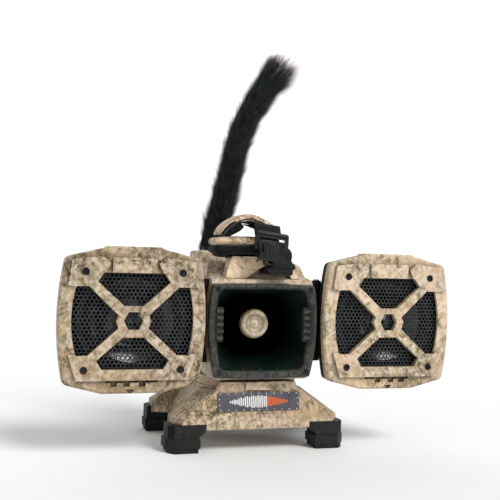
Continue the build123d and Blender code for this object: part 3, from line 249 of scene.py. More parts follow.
def camo_bark(m, v, base, seed, speckle):
    """Soft flowing bands, a fine crinkle and a net of dark lines with pale ones beside."""
    flow = m.remap(v, scale=(1, 1, 0.42), rotation=(0.25, 0.6 + 0.3 * math.sin(seed), 0.15))
    band = m.node("TexWave", {
        "Vector": m.warp(flow, scale=20, amount=0.035), "Scale": 42, "Distortion": 6.0,
        "Detail": 5.0, "Detail Scale": 2.2, "Detail Roughness": 0.65})
    share = m.patches(m.remap(v, (2, 8, 3)), (0.40, 0.58), (0.05, 0.55),
                      scale=13, detail=2, rough=0.5)
    troughs = m.ramp(band, [(0.0, 1.0), (0.30, 0.35), (0.55, 0.0)])
    crests = m.ramp(band, [(0.72, 0.0), (1.0, 0.6)])
    base = m.mix(m.times(share, troughs), base, srgb(126, 108, 82))
    base = m.mix(m.times(share, crests), base, srgb(222, 206, 176))

    crinkle = m.noise(m.warp(v, scale=120, amount=0.006, detail=3), scale=330, detail=7, rough=0.72)
    area = m.patches(m.remap(v, (4, 7, 2)), (0.45, 0.56), (0.10, 1.0),
                     scale=15, detail=3, rough=0.6)
    calm = m.ramp(crinkle, [(0.30, 0.78), (0.5, 0.98), (0.70, 1.12)])
    strong = m.ramp(crinkle, [(0.30, 0.36), (0.43, 0.80), (0.56, 1.10), (0.70, 1.38)])
    base = m.shade(base, m.mix(area, calm, strong))
    base = m.mix(m.math("SUBTRACT", 0.48, area, clamp=True), base, srgb(212, 184, 154))

    net = m.remap(m.warp(v, scale=70, amount=0.010, detail=3), offset=(6, 2, 9),
                  scale=(1, 1, 0.7), rotation=(0.1, 0.5, 0.2))
    net = m.noise(net, scale=120, detail=3)
    dark = m.times(m.hairline(net, 0.5, [(0.0, 1.0), (0.016, 0.8), (0.040, 0.0)]), area)
    pale = m.times(m.hairline(net, 0.575, [(0.0, 1.0), (0.030, 0.0)]), area)
    dark = m.times(dark, 0.92 * min(1.0, speckle), clamp=True)
    base = m.mix(dark, base, srgb(62, 52, 34))
    return m.mix(m.times(pale, 0.70), base, srgb(240, 222, 194)), crinkle


def camo_pattern(m, seed, speckle, painted_light_gain, warm):
    """The printed pattern: coordinates, colour, crinkle, dark strokes and leaf flecks."""
    draw = random.Random(seed)
    v = m.coords(tuple(draw.uniform(1, 4) for _ in range(3)))
    base, fine_zone = camo_ground(m, v, warm)
    base, crinkle = camo_bark(m, v, base, seed, speckle)
    dark = []
    for *shape, strength, colour in DARK_STROKES:
        dark.append(camo_strokes(m, v, seed, *shape))
        base = m.mix(m.times(dark[-1], strength * speckle, clamp=True), base, srgb(*colour))
    for *shape, strength, colour in PALE_STROKES:
        stroke = camo_strokes(m, v, seed, *shape)
        base = m.mix(m.times(stroke, strength), base, srgb(*colour))
    # leaf litter: small angular flecks gathered in patches
    leaf = m.remap(m.warp(v, scale=90, amount=0.008, detail=3),
                   scale=(1, 1, 0.5), rotation=(0.2, 0.7, 0.1))
    leaf = m.node("TexVoronoi", {"Vector": leaf, "Scale": 190.0})
    area = m.patches(m.remap(v, (9, 4, 6)), (0.53, 0.63), (0.0, 0.85 * min(1.0, speckle)),
                     scale=19, rough=0.62)
    fleck = m.times(m.ramp(leaf, [(0.30, 1.0), (0.48, 0.0)]), area)
    leaf_colour = m.mix(m.ramp(fine_zone, [(0.4, 0), (0.6, 1)]),
                        srgb(96, 84, 52), srgb(112, 88, 66))
    # painted light and shade: the whole pattern scaled by the part's gain
    base = m.shade(m.mix(fleck, base, leaf_colour), painted_light_gain)
    return v, base, crinkle, dark, fleck


def camo_shell(name, *pattern):
    """Dipped film on a moulded shell, under a clear coat."""
    m = Shader(name)
    v, base, _, strokes, fleck = camo_pattern(m, *pattern)
    dark = m.math("MAXIMUM", m.math("MAXIMUM", strokes[0], strokes[1]), fleck)
    # painted shade in the corners and steps, from ambient occlusion
    occlusion_shade = m.ramp(m.occlusion(distance=0.008, samples=6),
                   [(0.26, 0.01), (0.44, 0.40), (0.70, 0.86), (0.90, 1.0)])
    base = m.shade(base, occlusion_shade)
    # scuffed edges and a fine orange peel
    scuffs = m.patches(v, (0.42, 0.6), (0.0, 0.6), scale=160, detail=5, rough=0.7)
    base = m.mix(m.times(m.wear(0.51, 0.58), scuffs), base, srgb(226, 212, 190))
    normal = m.bump(m.noise(v, scale=900, detail=3, rough=0.6), strength=0.10,
                    distance=0.0002, normal=m.round_edges(0.0007))
    normal = m.bump(dark, strength=0.12, distance=0.0001, normal=normal)
    gloss = m.spread(m.noise(v, scale=40, rough=0.6), CAMO_ROUGHNESS - 0.07, CAMO_ROUGHNESS + 0.07)
    return m.finish(base, m.math("ADD", gloss, m.times(dark, 0.08)), normal, specular=0.32)


def camo_fabric(name, *pattern):
    """The same pattern printed on woven cloth."""
    m = Shader(name)
    _, base, crinkle, _, _ = camo_pattern(m, *pattern)
    v = m.coords()
    waves = [m.wave(v, scale=480, distortion=0.4, detail=1.0, bands_direction=d) for d in "XYZ"]
    weave = m.math("ADD", m.math("ADD", waves[0], waves[1]), waves[2])
    base = m.mix(0.20, base, m.shade(base, m.ramp(weave, [(0.2, 0.35), (0.8, 1.0)])))
    normal = m.bump(weave, strength=0.35, distance=0.0002)
    normal = m.bump(m.noise(v, scale=45, detail=3, rough=0.5), strength=0.5,
                    distance=0.0014, normal=normal)
    return m.finish(base, m.spread(crinkle, 0.8, 0.92), normal, sheen=0.2, specular=0.2)


DOME_RADIUS = 0.016
# Painted light and shade of a concave dish on the reflector's face, in rings: share of the radius,
# value.
DOME_DISH_SHADE = [(0.03, 0.25), (0.09, 1.0), (0.22, 0.92), (0.30, 0.60), (0.42, 0.88),
              (0.56, 0.50), (0.68, 0.80), (0.84, 1.20), (0.93, 0.8), (0.99, 0.3)]


def dome_material(name):
    """Pale film on the reflector with turned rings round its axis; painted light and shade of a
    dish in rings, and painted shade in black towards the back.
    """
    m = Shader(name)
    centre_x, centre_z = centre_xz("horn_reflector")
    v = m.coords()
    split = m.tree.nodes.new("ShaderNodeSeparateXYZ")
    m.put(split.inputs[0], v)
    x = m.math("SUBTRACT", split.outputs[0], centre_x)
    z = m.math("SUBTRACT", split.outputs[2], centre_z)
    radius = m.math("SQRT", m.math("ADD", m.times(x, x), m.times(z, z)))
    radius = m.times(radius, 1 / DOME_RADIUS)
    mottle = m.noise(v, scale=210, detail=5, rough=0.7)
    colour = m.ramp(m.noise(v, scale=60, detail=3, rough=0.6), [
        (0.36, srgb(160, 142, 108)), (0.5, srgb(206, 188, 160)), (0.66, srgb(226, 206, 188))])
    colour = m.shade(colour, m.ramp(mottle, [(0.34, 0.72), (0.5, 1.0), (0.68, 1.16)]))
    wobble = m.times(m.math("SUBTRACT", mottle, 0.5), 0.05)
    # painted highlight and shade of a concave dish, in rings round the axis
    rings = m.ramp(m.math("ADD", radius, wobble), DOME_DISH_SHADE)
    colour = m.mix(1.0, colour, m.shade(colour, rings))
    turning = m.wave(m.remap(v, (-centre_x, 0, -centre_z)), scale=260, distortion=0.6,
                     detail=1.0, wave_type="RINGS", rings_direction="Y")
    # painted shade: black toward the back, deep in the horn
    painted_shade_depth = m.map_range(split.outputs[1], -0.0385, -0.0345)
    colour = m.mix(painted_shade_depth, colour, srgb(2, 3, 3))
    normal = m.bump(turning, strength=0.15, distance=0.0002, normal=m.round_edges(0.0006))
    return m.finish(colour, m.spread(mottle, 0.34, 0.48), normal, specular=0.45)


# ------------------------------------------------------------------ plastics and metals
# Two sRGB colours, roughness, grain scale, grain strength, edge radius, specular,
# worn-edge sRGB colour or None, dust on top faces.
PLASTICS = {
    "black_shell": ((12, 14, 13), (20, 22, 20), 0.6, 1500, 0.12, 0.0005, 0.16, (44, 44, 42), 0.03),
    "bezel_charcoal": ((28, 31, 28), (37, 40, 36), 0.5, 1300, 0.16, 0.0009, 0.22,
                       (84, 85, 79), 0.04),
    # near-zero colour and no specular: painted shade deep in the horn's throat
    "throat_painted_shade": ((0, 1, 1), (1, 2, 2), 0.9, 900, 0.10, 0.0006, 0.0, None, 0),
    "foot_rubber": ((15, 18, 17), (22, 25, 23), 0.62, 700, 0.3, 0.0007, 0.20, (40, 42, 39), 0.05),
    "screw_black": ((3, 3, 4), (8, 8, 9), 0.30, 1800, 0.06, 0.0002, 0.25, (70, 70, 70), 0),
    "button_rubber": ((52, 52, 52), (66, 66, 64), 0.62, 900, 0.2, 0.0005, 0.3, None, 0),
    "buckle_black": ((12, 14, 14), (20, 22, 22), 0.36, 1600, 0.10, 0.0006, 0.30, (52, 54, 54), 0),
    "surround_rubber": ((10, 10, 10), (16, 16, 16), 0.6, 900, 0.15, 0.0005, 0.15, None, 0),
    "gear_white": ((222, 220, 208), (236, 234, 224), 0.38, 1200, 0.05, 0.0002, 0.5, None, 0),
    "cell_wrap": ((38, 40, 46), (58, 60, 66), 0.28, 600, 0.04, 0.0004, 0.6, (190, 160, 90), 0),
    "magnet": ((52, 52, 54), (70, 70, 72), 0.6, 500, 0.25, 0.0004, 0.5, (120, 120, 120), 0),
    "grille_steel": ((6, 8, 9), (18, 22, 23), 0.30, 700, 0.6, 0.00025, 0.55, (84, 90, 92), 0),
}
# Linear colour, roughness.
METALS = {
    "steel": ((0.60, 0.60, 0.61), 0.3),
    "brass": ((0.72, 0.54, 0.24), 0.28),
    "basket_steel": ((0.035, 0.036, 0.038), 0.42),
}


def fine_specks(m, v):
    return m.times(m.patches(v, (0.5, 0.7), scale=620, rough=0.7), 0.35)


def plastic(name, first, second, rough, grain, grain_strength, edge, specular, worn, dust):
    m = Shader(name)
    v = m.coords((0.7, 0.3, 0.2))
    second = srgb(*second)
    colour = m.mix(m.patches(v, (0.35, 0.65), scale=34, detail=5, rough=0.6), srgb(*first), second)
    colour = m.mix(fine_specks(m, v), colour, tuple(min(1, x * 1.7 + 0.004) for x in second))
    if worn:
        scuffs = m.patches(v, (0.4, 0.62), (0.15, 0.8), scale=210, detail=5, rough=0.7)
        colour = m.mix(m.times(m.wear(0.505, 0.57), scuffs), colour, srgb(*worn))
    # painted shade in corners and recesses, from ambient occlusion
    occlusion_shade = m.ramp(m.occlusion(distance=0.004, samples=4),
                   [(0.36, 0.04), (0.68, 0.70), (0.92, 1.0)])
    colour = m.shade(colour, occlusion_shade)
    if dust:
        up = m.axis(m.node("NewGeometry", out="Normal"), "Z")
        patchy = m.patches(v, (0.35, 0.7), (0.3, 1), scale=90, detail=5, rough=0.6)
        settled = m.times(m.ramp(up, [(0.2, 0), (1.0, dust)]), patchy)
        colour = m.mix(settled, colour, srgb(170, 158, 138))
    normal = m.bump(m.noise(v, scale=grain, detail=3, rough=0.6), strength=grain_strength,
                    distance=0.0002, normal=m.round_edges(edge))
    gloss = m.spread(m.noise(v, scale=60, rough=0.6), rough - 0.08, rough + 0.08)
    return m.finish(colour, gloss, normal, specular=specular)


def metal(name, base, rough):
    """Metal brushed across Z, with darker spots."""
    m = Shader(name)
    streak = m.noise(m.coords((0.1, 0.5, 0.9), (1, 1, 30)), scale=300, rough=0.6)
    colour = m.mix(m.spread(streak, 0, 1), scaled(base, 0.75), base)
    spots = m.patches(m.coords(), (0.55, 0.75), (0.0, 0.4), scale=130, detail=5, rough=0.65)
    colour = m.mix(spots, colour, scaled(base, 0.5))
    normal = m.bump(streak, strength=0.08, distance=0.0002, normal=m.round_edges(0.0003))
    return m.finish(colour, m.spread(streak, rough - 0.06, rough + 0.1), normal, metallic=1.0)


def horn_material(name):
    """Black moulded horn, slightly glossy at the mouth, with colour and gloss painted down to black
    toward the throat as painted shade.
    """
    m = Shader(name)
    v = m.coords()
    near_mouth = m.map_range(m.axis(v, "Y"), -0.066, -0.028, low=1.0, high=0.0)
    mottle = m.noise(v, scale=34, detail=5, rough=0.6)
    colour = m.mix(m.ramp(mottle, [(0.35, 0), (0.65, 1)]), srgb(8, 20, 17), srgb(15, 36, 31))
    colour = m.mix(fine_specks(m, v), colour, srgb(20, 32, 29))
    # painted shade: colour fades to black away from the mouth, deep in the horn
    colour = m.mix(near_mouth, srgb(0, 0, 0), colour)
    normal = m.bump(m.noise(v, scale=900, detail=3, rough=0.6), strength=0.10,
                    distance=0.0002, normal=m.round_edges(0.0006))
    return m.finish(colour, m.spread(mottle, 0.38, 0.52), normal,
                    specular=m.times(near_mouth, 0.22))


def cone_material(name):
    """Speaker cone under a dark, finely mottled lacquer."""
    m = Shader(name)
    v = m.coords()
    fine = m.noise(v, scale=420, detail=6, rough=0.7)
    colour = m.mix(m.ramp(fine, [(0.35, 0), (0.7, 1)]), srgb(8, 9, 9), srgb(22, 22, 21))
    broad = m.patches(v, (0.4, 0.7), (0.0, 0.5), scale=36, detail=3, rough=0.6)
    colour = m.mix(broad, colour, srgb(14, 13, 12))
    return m.finish(colour, m.spread(fine, 0.16, 0.26),
                    m.bump(fine, strength=0.2, distance=0.0003), specular=1.0)


def board_material(name):
    """Green circuit board: a brick layout of tracks and pale dots."""
    m = Shader(name)
    v = m.coords()
    tracks = m.node("TexBrick", {
        "Vector": m.remap(v, rotation=(math.pi / 2, 0, 0)), "Color1": (0.012, 0.11, 0.045),
        "Color2": (0.02, 0.15, 0.06), "Mortar": (0.10, 0.32, 0.12), "Scale": 130.0,
        "Mortar Size": 0.03})
    dots = m.patches(v, (0.6, 0.65), scale=300, detail=3, rough=0.5)
    colour = m.mix(dots, tracks, srgb(190, 186, 170))
    gloss = m.spread(m.noise(v, scale=200, rough=0.6), 0.2, 0.4)
    grain = m.noise(v, scale=500, detail=3, rough=0.6)
    return m.finish(colour, gloss, m.bump(grain, strength=0.15, distance=0.0003))


def plate_material(name):
    """Brushed slate with soft mottling."""
    m = Shader(name)
    v = m.coords()
    mottle = m.noise(v, scale=55, detail=6, rough=0.65)
    colour = m.ramp(mottle, [
        (0.3, srgb(64, 65, 72)), (0.55, srgb(80, 79, 86)), (0.75, srgb(94, 90, 94))])
    specks = m.patches(v, (0.56, 0.68), (0, 0.6), scale=420, detail=6, rough=0.7)
    colour = m.mix(specks, colour, srgb(60, 60, 66))
    scratch = m.noise(m.coords(scale=(6, 1, 120)), scale=40, detail=3, rough=0.6)
    colour = m.mix(m.ramp(scratch, [(0.62, 0), (0.7, 0.35)]), colour, srgb(140, 138, 140))
    normal = m.bump(scratch, strength=0.08, distance=0.0002, normal=m.round_edges(0.0003))
    return m.finish(colour, m.spread(mottle, 0.3, 0.45), normal, metallic=0.25)


def print_material(name, ink):
    """Slightly worn printing ink."""
    m = Shader(name)
    v = m.coords()
    fine = m.noise(v, scale=380, detail=6, rough=0.72)
    colour = m.mix(m.ramp(fine, [(0.56, 0), (0.66, 0.75)]), ink, scaled(ink, 0.45))
    faded = m.patches(v, (0.35, 0.7), (0.25, 0), scale=60, detail=3, rough=0.6)
    colour = m.mix(faded, colour, scaled(ink, 0.7))
    return m.finish(colour, m.spread(fine, 0.42, 0.6),
                    m.bump(fine, strength=0.15, distance=0.0001))


def webbing_material(name, rib_sheen, valley):
    """Woven nylon: ribs crossing diagonally on the tape's UV map, lighter than the valleys with
    painted sheen.
    """
    m = Shader(name)
    uv = m.node("TexCoord", out="UV")
    ribs = [m.wave(m.remap(uv, rotation=(0, 0, turn)), scale=5.0, distortion=0.5)
            for turn in (0.6, -0.6)]
    weave = m.math("MAXIMUM", *ribs)
    v = m.coords()
    colour = m.mix(m.ramp(weave, [(0.35, 0), (0.9, 1)]), valley, rib_sheen)
    colour = m.mix(m.patches(v, (0.5, 0.75), (0, 0.4), scale=240, detail=6, rough=0.7), colour, rib_sheen)
    normal = m.bump(weave, strength=0.9, distance=0.0005)
    normal = m.bump(m.noise(v, scale=1600, detail=3, rough=0.6), strength=0.3,
                    distance=0.0002, normal=normal)
    return m.finish(colour, m.ramp(weave, [(0.0, 0.85), (1.0, 0.6)]), normal,
                    sheen=0.08, specular=0.2)


def lining_material(name):
    """Black knitted lining of the padded strap."""
    m = Shader(name)
    v = m.coords()
    knit = m.node("TexVoronoi", {"Vector": v, "Scale": 900.0})
    colour = m.mix(m.ramp(knit, [(0.1, 1), (0.6, 0)]), srgb(10, 12, 10), srgb(28, 30, 27))
    faded = m.patches(v, (0.45, 0.75), (0, 0.4), scale=80, detail=5, rough=0.6)
    colour = m.mix(faded, colour, srgb(44, 44, 38))
    normal = m.bump(knit, strength=0.5, distance=0.0004)
    normal = m.bump(m.noise(v, scale=60, rough=0.5), strength=0.5, distance=0.0012, normal=normal)
    return m.finish(colour, m.ramp(knit, [(0, 0.8), (1, 0.95)]), normal,
                    sheen=0.06, specular=0.1)


def thread_material(name, dark, light):
    m = Shader(name)
    twist = m.wave(m.coords(), scale=900.0, distortion=1.0, bands_direction="DIAGONAL")
    return m.finish(m.mix(twist, dark, light), m.ramp(twist, [(0, 0.5), (1, 0.7)]),
                    m.bump(twist, strength=0.4, distance=0.0002), sheen=0.3)


def fur_material(name, root, tip, rough):
    """Hair coloured from root to tip by the mesh attribute "along"."""
    m = Shader(name)
    v = m.coords()
    along = m.node("Attribute", out=2, attribute_name="along")  # output 2 is the grey value
    mottle = m.noise(v, scale=130, detail=3, rough=0.6)
    colour = m.mix(along, root, tip)
    colour = m.mix(m.ramp(mottle, [(0.35, 0.0), (0.75, 0.45)]), colour,
                   tuple(x * 2.0 + 0.001 for x in tip))
    return m.finish(colour, m.spread(mottle, rough - 0.06, rough + 0.1),
                    specular=0.32, anisotropic=0.4)


MATERIALS = {
    **{name: camo_shell(name, *row) for name, row in CAMO_SHELLS.items()},
    **{name: plastic(name, *row) for name, row in PLASTICS.items()},
    **{name: metal(name, *row) for name, row in METALS.items()},
    "camo_dome": dome_material("camo_dome.001"),
    "camo_cloth": camo_fabric("camo_cloth", *CAMO_CLOTH),
    "horn": horn_material("horn_black.001"),
    "cone": cone_material("cone_coated"),
    "board": board_material("board_green"),
    "plate": plate_material("plate_grey"),
    "print_white": print_material("print_white", ink=srgb(222, 222, 220)),
    "print_orange": print_material("print_orange", ink=srgb(214, 98, 34)),
    # The ribs' light colour is partly the weave and partly painted sheen.
    "webbing": webbing_material("webbing", rib_sheen=srgb(78, 80, 76), valley=srgb(5, 7, 6)),
    # darker copy of the webbing: painted shade for the tapes that lie in shade below and beside the
    # upper one
    "webbing_shade": webbing_material("webbing_shade", rib_sheen=srgb(26, 30, 28), valley=srgb(3, 5, 4)),
    "lining": lining_material("lining_black"),
    "thread": thread_material("thread_tan", dark=srgb(120, 104, 78), light=srgb(170, 150, 118)),
    "thread_black": thread_material("thread_black", dark=srgb(14, 14, 14), light=srgb(34, 34, 33)),
    "fur_core": fur_material("fur_core", root=srgb(5, 6, 7), tip=srgb(12, 14, 15), rough=0.7),
    "fur": fur_material("fur_black", root=srgb(5, 6, 7), tip=srgb(24, 29, 31), rough=0.36),
    "fur_sheen": fur_material("fur_sheen", root=srgb(10, 12, 13), tip=srgb(62, 72, 76), rough=0.34),
    "fur_pale": fur_material("fur_pale", root=srgb(120, 108, 104), tip=srgb(232, 214, 204),
                             rough=0.45),
}

# CAD pieces wearing each material.
WEARERS = {
    "camo_body": "decoy_housing front_housing rear_housing neck_collar",
    "camo_lug": "strap_lug",
    "camo_base": "base_shell battery_door",
    "camo_left": "pod_front_cover_left",
    "camo_right": "pod_front_cover_right",
    "camo_dome": "horn_reflector",
    "camo_cloth": "strap_pad",
    "black_shell": "base_floor battery_tray driver_cap hinge_bracket_left hinge_bracket_right "
                   "pod_rear_shell_left pod_rear_shell_right tail_socket",
    "bezel_charcoal": "control_panel horn_bezel",
    "horn": "horn_bell",
    "throat_painted_shade": "throat_tube",
    "foot_rubber": "foot_front_left foot_front_right foot_rear_left foot_rear_right",
    "screw_black": "case_screws horn_bezel_screws pod_screws_left pod_screws_right",
    "button_rubber": "power_button volume_rocker",
    "buckle_black": "buckle_female buckle_male",
    "surround_rubber": "speaker_surround_left speaker_surround_right",
    "gear_white": "tail_gear",
    "cell_wrap": "battery_cells",
    "magnet": "driver_magnet speaker_magnet_left speaker_magnet_right",
    "grille_steel": "pod_grille_left pod_grille_right",
    "steel": "battery_door_pin decoy_motor driver_diaphragm hinge_pins",
    "brass": "aux_jack motor_pinion",
    "basket_steel": "speaker_basket_left speaker_basket_right",
    "cone": "speaker_cone_left speaker_cone_right",
    "board": "amplifier_board receiver_board",
    "plate": "name_plate",
    "webbing": "strap_webbing",
    "fur_core": "tail_fur",
}
worn_by = {piece: name for name, pieces in WEARERS.items() for piece in pieces.split()}
for piece, piece_ob in PIECES.items():
    piece_ob.data.materials.clear()
    piece_ob.data.materials.append(MATERIALS[worn_by[piece]])


# ------------------------------------------------------------------ mesh helpers
def link_mesh(name, mesh):
    ob = bpy.data.objects.new(name, mesh)
    SCENE.collection.objects.link(ob)
    return ob


def dress(mesh, material, smooth):
    mesh.materials.append(material)
    if smooth:
        mesh.polygons.foreach_set("use_smooth", [True] * len(mesh.polygons))


def mesh_object(name, verts, faces, material, smooth=True):
    mesh = bpy.data.meshes.new(name)
    mesh.from_pydata([tuple(v) for v in verts], [], faces)
    mesh.validate()
    mesh.update()
    dress(mesh, material, smooth)
    return link_mesh(name, mesh)


def bmesh_object(name, bm, material, smooth=True):
    mesh = bpy.data.meshes.new(name)
    bmesh.ops.recalc_face_normals(bm, faces=bm.faces)
    bm.to_mesh(mesh)
    bm.free()
    dress(mesh, material, smooth)
    return link_mesh(name, mesh)


def fix_normals(mesh, merge=0.0):
    """Point the faces outward, first merging vertices closer than a distance."""
    bm = bmesh.new()
    bm.from_mesh(mesh)
    if merge:
        bmesh.ops.remove_doubles(bm, verts=bm.verts, dist=merge)
    bmesh.ops.recalc_face_normals(bm, faces=bm.faces)
    bm.to_mesh(mesh)
    bm.free()


def evaluated_mesh(ob):
    depsgraph = bpy.context.evaluated_depsgraph_get()
    return bpy.data.meshes.new_from_object(ob.evaluated_get(depsgraph))


def apply_modifiers(ob):
    mesh = evaluated_mesh(ob)
    old = ob.data
    ob.modifiers.clear()
    ob.data = mesh
    bpy.data.meshes.remove(old)
    return ob


def catmull(points, steps):
    """Points along a smooth curve through the given vectors."""
    padded = [points[0] * 2 - points[1], *points, points[-1] * 2 - points[-2]]
    out = []
    for i in range(1, len(padded) - 2):
        a, b, c, d = padded[i - 1:i + 3]
        for k in range(steps):
            t = k / steps
            out.append(0.5 * ((2 * b) + (c - a) * t + (2 * a - 5 * b + 4 * c - d) * t * t
                              + (3 * b - a - 3 * c + d) * t ** 3))
    return out + [padded[-2]]


def run_lengths(points):
    run = [0.0]
    for before, point in zip(points, points[1:]):
        run.append(run[-1] + (point - before).length)
    return run


def locate(run, s):
    """Segment and fraction within it at run s."""
    i = max(0, min(len(run) - 2, int(np.searchsorted(run, s)) - 1))
    return i, (s - run[i]) / max(1e-6, run[i + 1] - run[i])


def direction_at(points, i):
    return (points[min(i + 1, len(points) - 1)] - points[max(i - 1, 0)]).normalized()


def loft_bands(rings, sides, first=0):
    """Quads joining successive rings of vertices, numbered from first."""
    faces = []
    for i in range(rings - 1):
        low = first + i * sides
        high = low + sides
        for j in range(sides):
            k = (j + 1) % sides
            faces.append((low + j, low + k, high + k, high + j))
    return faces


def loft_closed(rings, sides, first=0):
    """Loft with a face on each end."""
    last = first + (rings - 1) * sides
    return loft_bands(rings, sides, first) + [
        tuple(first + j for j in range(sides - 1, -1, -1)), tuple(last + j for j in range(sides))]


def ring_loft(name, rings, material):
    """Closed smooth body through rings of points."""
    bm = bmesh.new()
    verts = [bm.verts.new(point) for ring in rings for point in ring]
    for face in loft_closed(len(rings), len(rings[0])):
        bm.faces.new([verts[i] for i in face])
    return bmesh_object(name, bm, material)


def cord_rings(points, radii, sides, carry_frame):
    """Rings round a cord; the frame is carried along it or chosen afresh at each point."""
    verts = []
    reference = None
    for i, (point, radius) in enumerate(zip(points, radii)):
        along = direction_at(points, i)
        if reference is None or not carry_frame:
            reference = Vector((0, 1, 0)) if abs(along.y) < 0.9 else Vector((1, 0, 0))
        across = (reference - along * reference.dot(along)).normalized()
        reference = across
        third = along.cross(across)
        for j in range(sides):
            a = 2 * math.pi * j / sides
            verts.append((point + (across * math.cos(a) + third * math.sin(a)) * radius) * MM)
    return verts


# ------------------------------------------------------------------ perforated grilles
GRILLE_PITCH = 4.1 * MM
GRILLE_STRAND = 0.85 * MM
GRILLE_SHEET = 0.9 * MM
GRILLE_DOME = 0.0005
GRILLE_HALF = (0.061, 0.048)  # half width and height the dome fades over


def in_grille(x, z):
    """Whether a cell centre, in mm from the middle, is in the wide band or the tapered one."""
    x, z = abs(x), abs(z)
    return (x < 59.5 and z < 33.0) or (z < 46.8 and x < 31.0 + (46.8 - z) * 0.68 and x < 39.5)


def grille(side):
    """Hexagonal mesh, slightly domed towards the front."""
    piece = "pod_grille_" + side
    low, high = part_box(piece)
    centre_x, centre_z = centre_xz(piece)
    y = (low.y + high.y) / 2
    cell = GRILLE_PITCH / math.sqrt(3)
    hole = cell * (GRILLE_PITCH - GRILLE_STRAND) / GRILLE_PITCH
    bm = bmesh.new()
    shared = {}

    def corner(x, z):
        key = (round(x * 1e6), round(z * 1e6))
        if key not in shared:
            u, w = (x - centre_x) / GRILLE_HALF[0], (z - centre_z) / GRILLE_HALF[1]
            dome = -GRILLE_DOME * max(0.0, 1 - u * u) * max(0.0, 1 - w * w)
            shared[key] = bm.verts.new((x, y + dome + 0.0003, z))
        return shared[key]

    rows = int((high.z - low.z) / (cell * 1.5)) + 3
    columns = int((high.x - low.x) / GRILLE_PITCH) + 3
    for j in range(-rows // 2, rows // 2 + 1):
        for i in range(-columns // 2 - 1, columns // 2 + 2):
            x = centre_x + (i + (0.5 if j % 2 else 0)) * GRILLE_PITCH
            z = centre_z + j * cell * 1.5
            if not in_grille((x - centre_x) / MM, (z - centre_z) / MM):
                continue
            outer, inner = [], []
            for k in range(6):
                a = math.radians(60 * k + 30)
                outer.append(corner(x + cell * math.cos(a), z + cell * math.sin(a)))
                inner.append(bm.verts.new((x + hole * math.cos(a), outer[-1].co.y,
                                           z + hole * math.sin(a))))
            for k in range(6):
                n = (k + 1) % 6
                bm.faces.new((outer[k], outer[n], inner[n], inner[k]))
    ob = bmesh_object("grille_mesh_" + side, bm, MATERIALS["grille_steel"], smooth=False)
    solid = ob.modifiers.new("thick", "SOLIDIFY")
    solid.thickness = GRILLE_SHEET
    solid.offset = 0
    apply_modifiers(ob)
    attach(ob, side + "_pod")
    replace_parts(ob, piece)


grille("left")
grille("right")

# ------------------------------------------------------------------ tail of black pile
# x, z and radius up the tail.
TAIL = [(-30, 201.4, 12), (-27.5, 214, 13.6), (-22.2, 238, 13.6), (-15.5, 264, 13.4),
        (-9.8, 288, 12.8), (-2.2, 318, 13.4), (10.6, 347, 13.8), (27, 373, 14.4),
        (41, 391, 14.0), (49, 404, 10.8)]
TAIL_Y = 29.05
TAIL_STEPS = 12
TAIL_LINE = catmull([Vector((x - 8.0 * max(0.0, (z - 285) / 120.0) ** 1.3, TAIL_Y, z))
                     for x, z, _ in TAIL], TAIL_STEPS)
TAIL_RADII = [v.x for v in catmull([Vector((r * 1.16, 0, 0)) for _, _, r in TAIL], TAIL_STEPS)]
TAIL_RUN = run_lengths(TAIL_LINE)
TAIL_LENGTH = TAIL_RUN[-1]
TAIL_TOP = 418  # hair above this height is pressed down
CORE_STEPS, CORE_SIDES = 150, 40
HAIR_SEGMENTS = 4

# Name, material, count, seed, start and end along the tail (negative: from the tip),
# length, root radius, splay, lift along the tail, curl, pull on the tips.
HAIRS = [
    ("tail_underfur", "fur", 7500, 1, 0, -2, 10.0, 0.17, 0.40, 0.9, 0.0, None),
    ("tail_pile", "fur", 9500, 2, 0, -4, 16.0, 0.15, 0.52, 0.95, 0.8, None),
    ("tail_guard_hair", "fur", 1300, 3, 6, -6, 21.0, 0.14, 0.80, 0.95, 2.2, None),
    ("tail_sheen_hair", "fur_sheen", 2200, 8, 2, -8, 15.0, 0.20, 0.62, 0.95, 1.2, None),
    ("tail_tip", "fur", 1500, 4, -30, -5, 21.0, 0.20, 0.80, 1.0, 2.6, (5.0, 0, -1.0)),
    ("tail_root", "fur", 1500, 7, 4, 16, 12.5, 0.16, 0.34, -0.9, 0.5, None),
    ("tail_pale_hair", "fur_pale", 420, 5, -22, -4, 25.0, 0.10, 0.80, 1.0, 3.0, (9.0, 0, 1.0)),
    ("tail_pale_flecks", "fur_pale", 160, 6, 20, -10, 12.0, 0.06, 0.62, 0.95, 1.0, None),
]


def tail_at(s):
    """Point, radius and direction at run s; a negative s lies below the root."""
    if s < 0:
        direction = (TAIL_LINE[1] - TAIL_LINE[0]).normalized()
        return TAIL_LINE[0] + direction * s, TAIL_RADII[0], direction
    i, t = locate(TAIL_RUN, min(TAIL_LENGTH, s))
    start, end = TAIL_LINE[i:i + 2]
    radius = TAIL_RADII[i] + (TAIL_RADII[i + 1] - TAIL_RADII[i]) * t
    return start.lerp(end, t), radius, (end - start).normalized()


def tail_core():
    """Matted core under the pile, closing at the tip."""
    rings = []
    for i in range(CORE_STEPS + 1):
        s = TAIL_LENGTH * i / CORE_STEPS
        point, radius, direction = tail_at(s)
        a = Vector((0, 1, 0))
        b = direction.cross(a).normalized()
        taper = 1.0 if i < CORE_STEPS - 8 else max(0.08, (CORE_STEPS - i) / 8)
        core = radius * 0.70 * taper
        ring = []
        for j in range(CORE_SIDES):
            turn = 2 * math.pi * j / CORE_SIDES
            spot = Vector((math.cos(turn) * 1.6, math.sin(turn) * 1.6, s * 0.11))
            lumpy = core * (1 + 0.16 * noise.noise(spot) + 0.06 * math.sin(turn * 11 + s * 0.6))
            ring.append((point + (a * math.cos(turn) + b * math.sin(turn)) * lumpy) * MM)
        rings.append(ring)
    core = ring_loft("tail_core", rings, MATERIALS["fur_core"])
    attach(core, "tail")
    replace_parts(core, "tail_fur")


